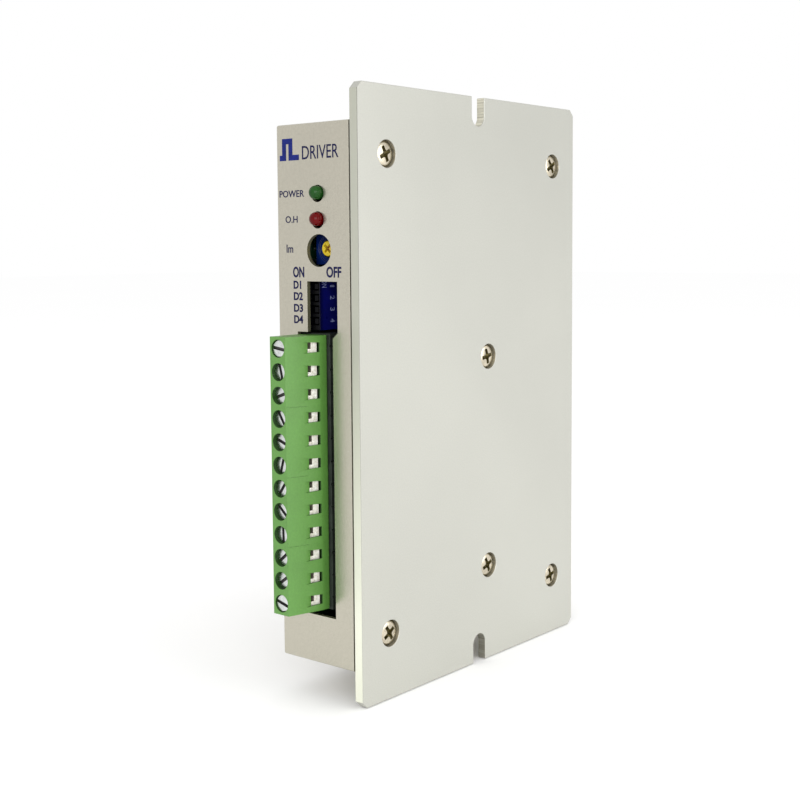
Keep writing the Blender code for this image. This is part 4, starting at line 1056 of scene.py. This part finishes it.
def make_header():
    rim_x = HEADER_RIM_X
    back_y = HEADER_LOW.y + HEADER_LENGTH
    shell = block((HEADER_LOW.x, rim_x), (HEADER_LOW.y, back_y), (HEADER_LOW.z, HEADER_HIGH.z))
    cavity = block((HEADER_LOW.x + HEADER_WALL, rim_x - HEADER_WALL),
                   (HEADER_LOW.y - MM, back_y - HEADER_BACK_WALL),
                   (HEADER_LOW.z + HEADER_END_WALL, HEADER_HIGH.z - HEADER_END_WALL))
    heights = pole_heights()
    notches = bmesh.new()
    for z in heights:
        block((rim_x - HEADER_NOTCH_DEPTH, rim_x + MM),
              (HEADER_LOW.y - MM, HEADER_LOW.y + HEADER_NOTCH_LENGTH),
              (z - HEADER_NOTCH_HALF, z + HEADER_NOTCH_HALF), notches)
    piece("black_header", shell, RIM, "module", (cavity, notches), edge=0.12 * MM,
          replaces=("terminal_header",))
    pins = bmesh.new()
    half = HEADER_PIN_HALF
    front = FRONT_Y + HEADER_PIN_FROM_FRONT[0]
    back = FRONT_Y + HEADER_PIN_FROM_FRONT[1]
    for z in heights:
        outline = [(PIN_X - half, front), (PIN_X + half, front), (PIN_X + half, back), (HEADER_LOW.x, back)]
        outline += [(HEADER_LOW.x, back - 2 * half), (PIN_X - half, back - 2 * half)]
        prism(outline, "Z", z - half, z + half, pins)
    piece("header_pins", pins, TINNED, "module", edge=0.12 * MM)


# ---------------------------------------------------------------- inner parts, lights and camera

def refinish(name, material):
    """Shows a CAD node as it is, in a finish of this script."""
    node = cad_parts[name]
    node.data.materials.clear()
    node.data.materials.append(material)


def finish_inner_nodes():
    finishes = {
        "main_pcb": LAMINATE,
        "thermal_pad": SILICONE,
        "clamp_bar": STEEL,
        "controller_chip": EPOXY,
        "bulk_capacitor_1": SLEEVE,
        "bulk_capacitor_2": SLEEVE,
    }
    finishes.update({f"pcb_support_{number}": NYLON for number in range(1, 5)})
    finishes.update({f"power_device_{number}": EPOXY for number in range(1, 5)})
    finishes.update({f"optocoupler_{number}": EPOXY for number in range(1, 4)})
    for name, material in finishes.items():
        refinish(name, material)


def make_stage():
    floor_material = surface("pale_floor", (0.99, 0.99, 0.99), 0.9, 0.0, 0.002, 3, 0.001, 200, 0.0,
                             specular=0.0)
    floor = bpy.data.objects.new("floor", bpy.data.meshes.new("floor"))
    half = FLOOR_HALF
    corners = [(-half, -half, 0), (half, -half, 0), (half, half, 0), (-half, half, 0)]
    floor.data.from_pydata(corners, [], [(0, 1, 2, 3)])
    floor.location.z = cad_bounds[0][2] - FLOOR_DROP
    floor.data.materials.append(floor_material)
    bpy.context.scene.collection.objects.link(floor)
    world = bpy.data.worlds.new("studio")
    world.use_nodes = True
    world.node_tree.nodes["Background"].inputs["Color"].default_value = (1, 1, 1, 1)
    world.node_tree.nodes["Background"].inputs["Strength"].default_value = 1.0
    bpy.context.scene.world = world
    bpy.context.scene.view_settings.view_transform = "Standard"


def soft_light(name, place, target, size, power):
    light = bpy.data.lights.new(name, "AREA")
    light.shape = "RECTANGLE"
    light.size = size[0]
    light.size_y = size[1]
    light.energy = power
    lamp = bpy.data.objects.new(name, light)
    bpy.context.scene.collection.objects.link(lamp)
    lamp.location = place
    lamp.rotation_euler = (Vector(target) - Vector(place)).to_track_quat("-Z", "Y").to_euler()


def make_camera():
    sin_azimuth, cos_azimuth = math.sin(CAMERA_AZIMUTH), math.cos(CAMERA_AZIMUTH)
    sin_roll, cos_roll = math.sin(CAMERA_ROLL), math.cos(CAMERA_ROLL)
    level = math.cos(CAMERA_DIP)
    forward = Vector((-sin_azimuth * level, cos_azimuth * level, -math.sin(CAMERA_DIP)))
    right = Vector((cos_azimuth, sin_azimuth, 0))
    up = right.cross(forward)
    right, up = right * cos_roll + up * sin_roll, up * cos_roll - right * sin_roll
    data = bpy.data.cameras.new("camera")
    data.lens = CAMERA_LENS
    data.shift_y = CAMERA_SHIFT
    data.clip_start = CAMERA_CLIP_START
    camera = bpy.data.objects.new("camera", data)
    bpy.context.scene.collection.objects.link(camera)
    rotation = Matrix((right, up, -forward)).transposed().to_4x4()
    camera.matrix_world = Matrix.Translation(CAMERA_PLACE) @ rotation
    bpy.context.scene.camera = camera


make_camera()
make_stage()
for light_facts in LIGHTS:
    soft_light(*light_facts)
make_base_plate()
make_plate_screws()
make_cover()
make_lamps()
make_trimmer()
make_dip_switch()
make_pulse_mark()
make_panel_lettering()
make_plug()
make_pole_screws()
make_wire_clamps()
make_header()
finish_inner_nodes()
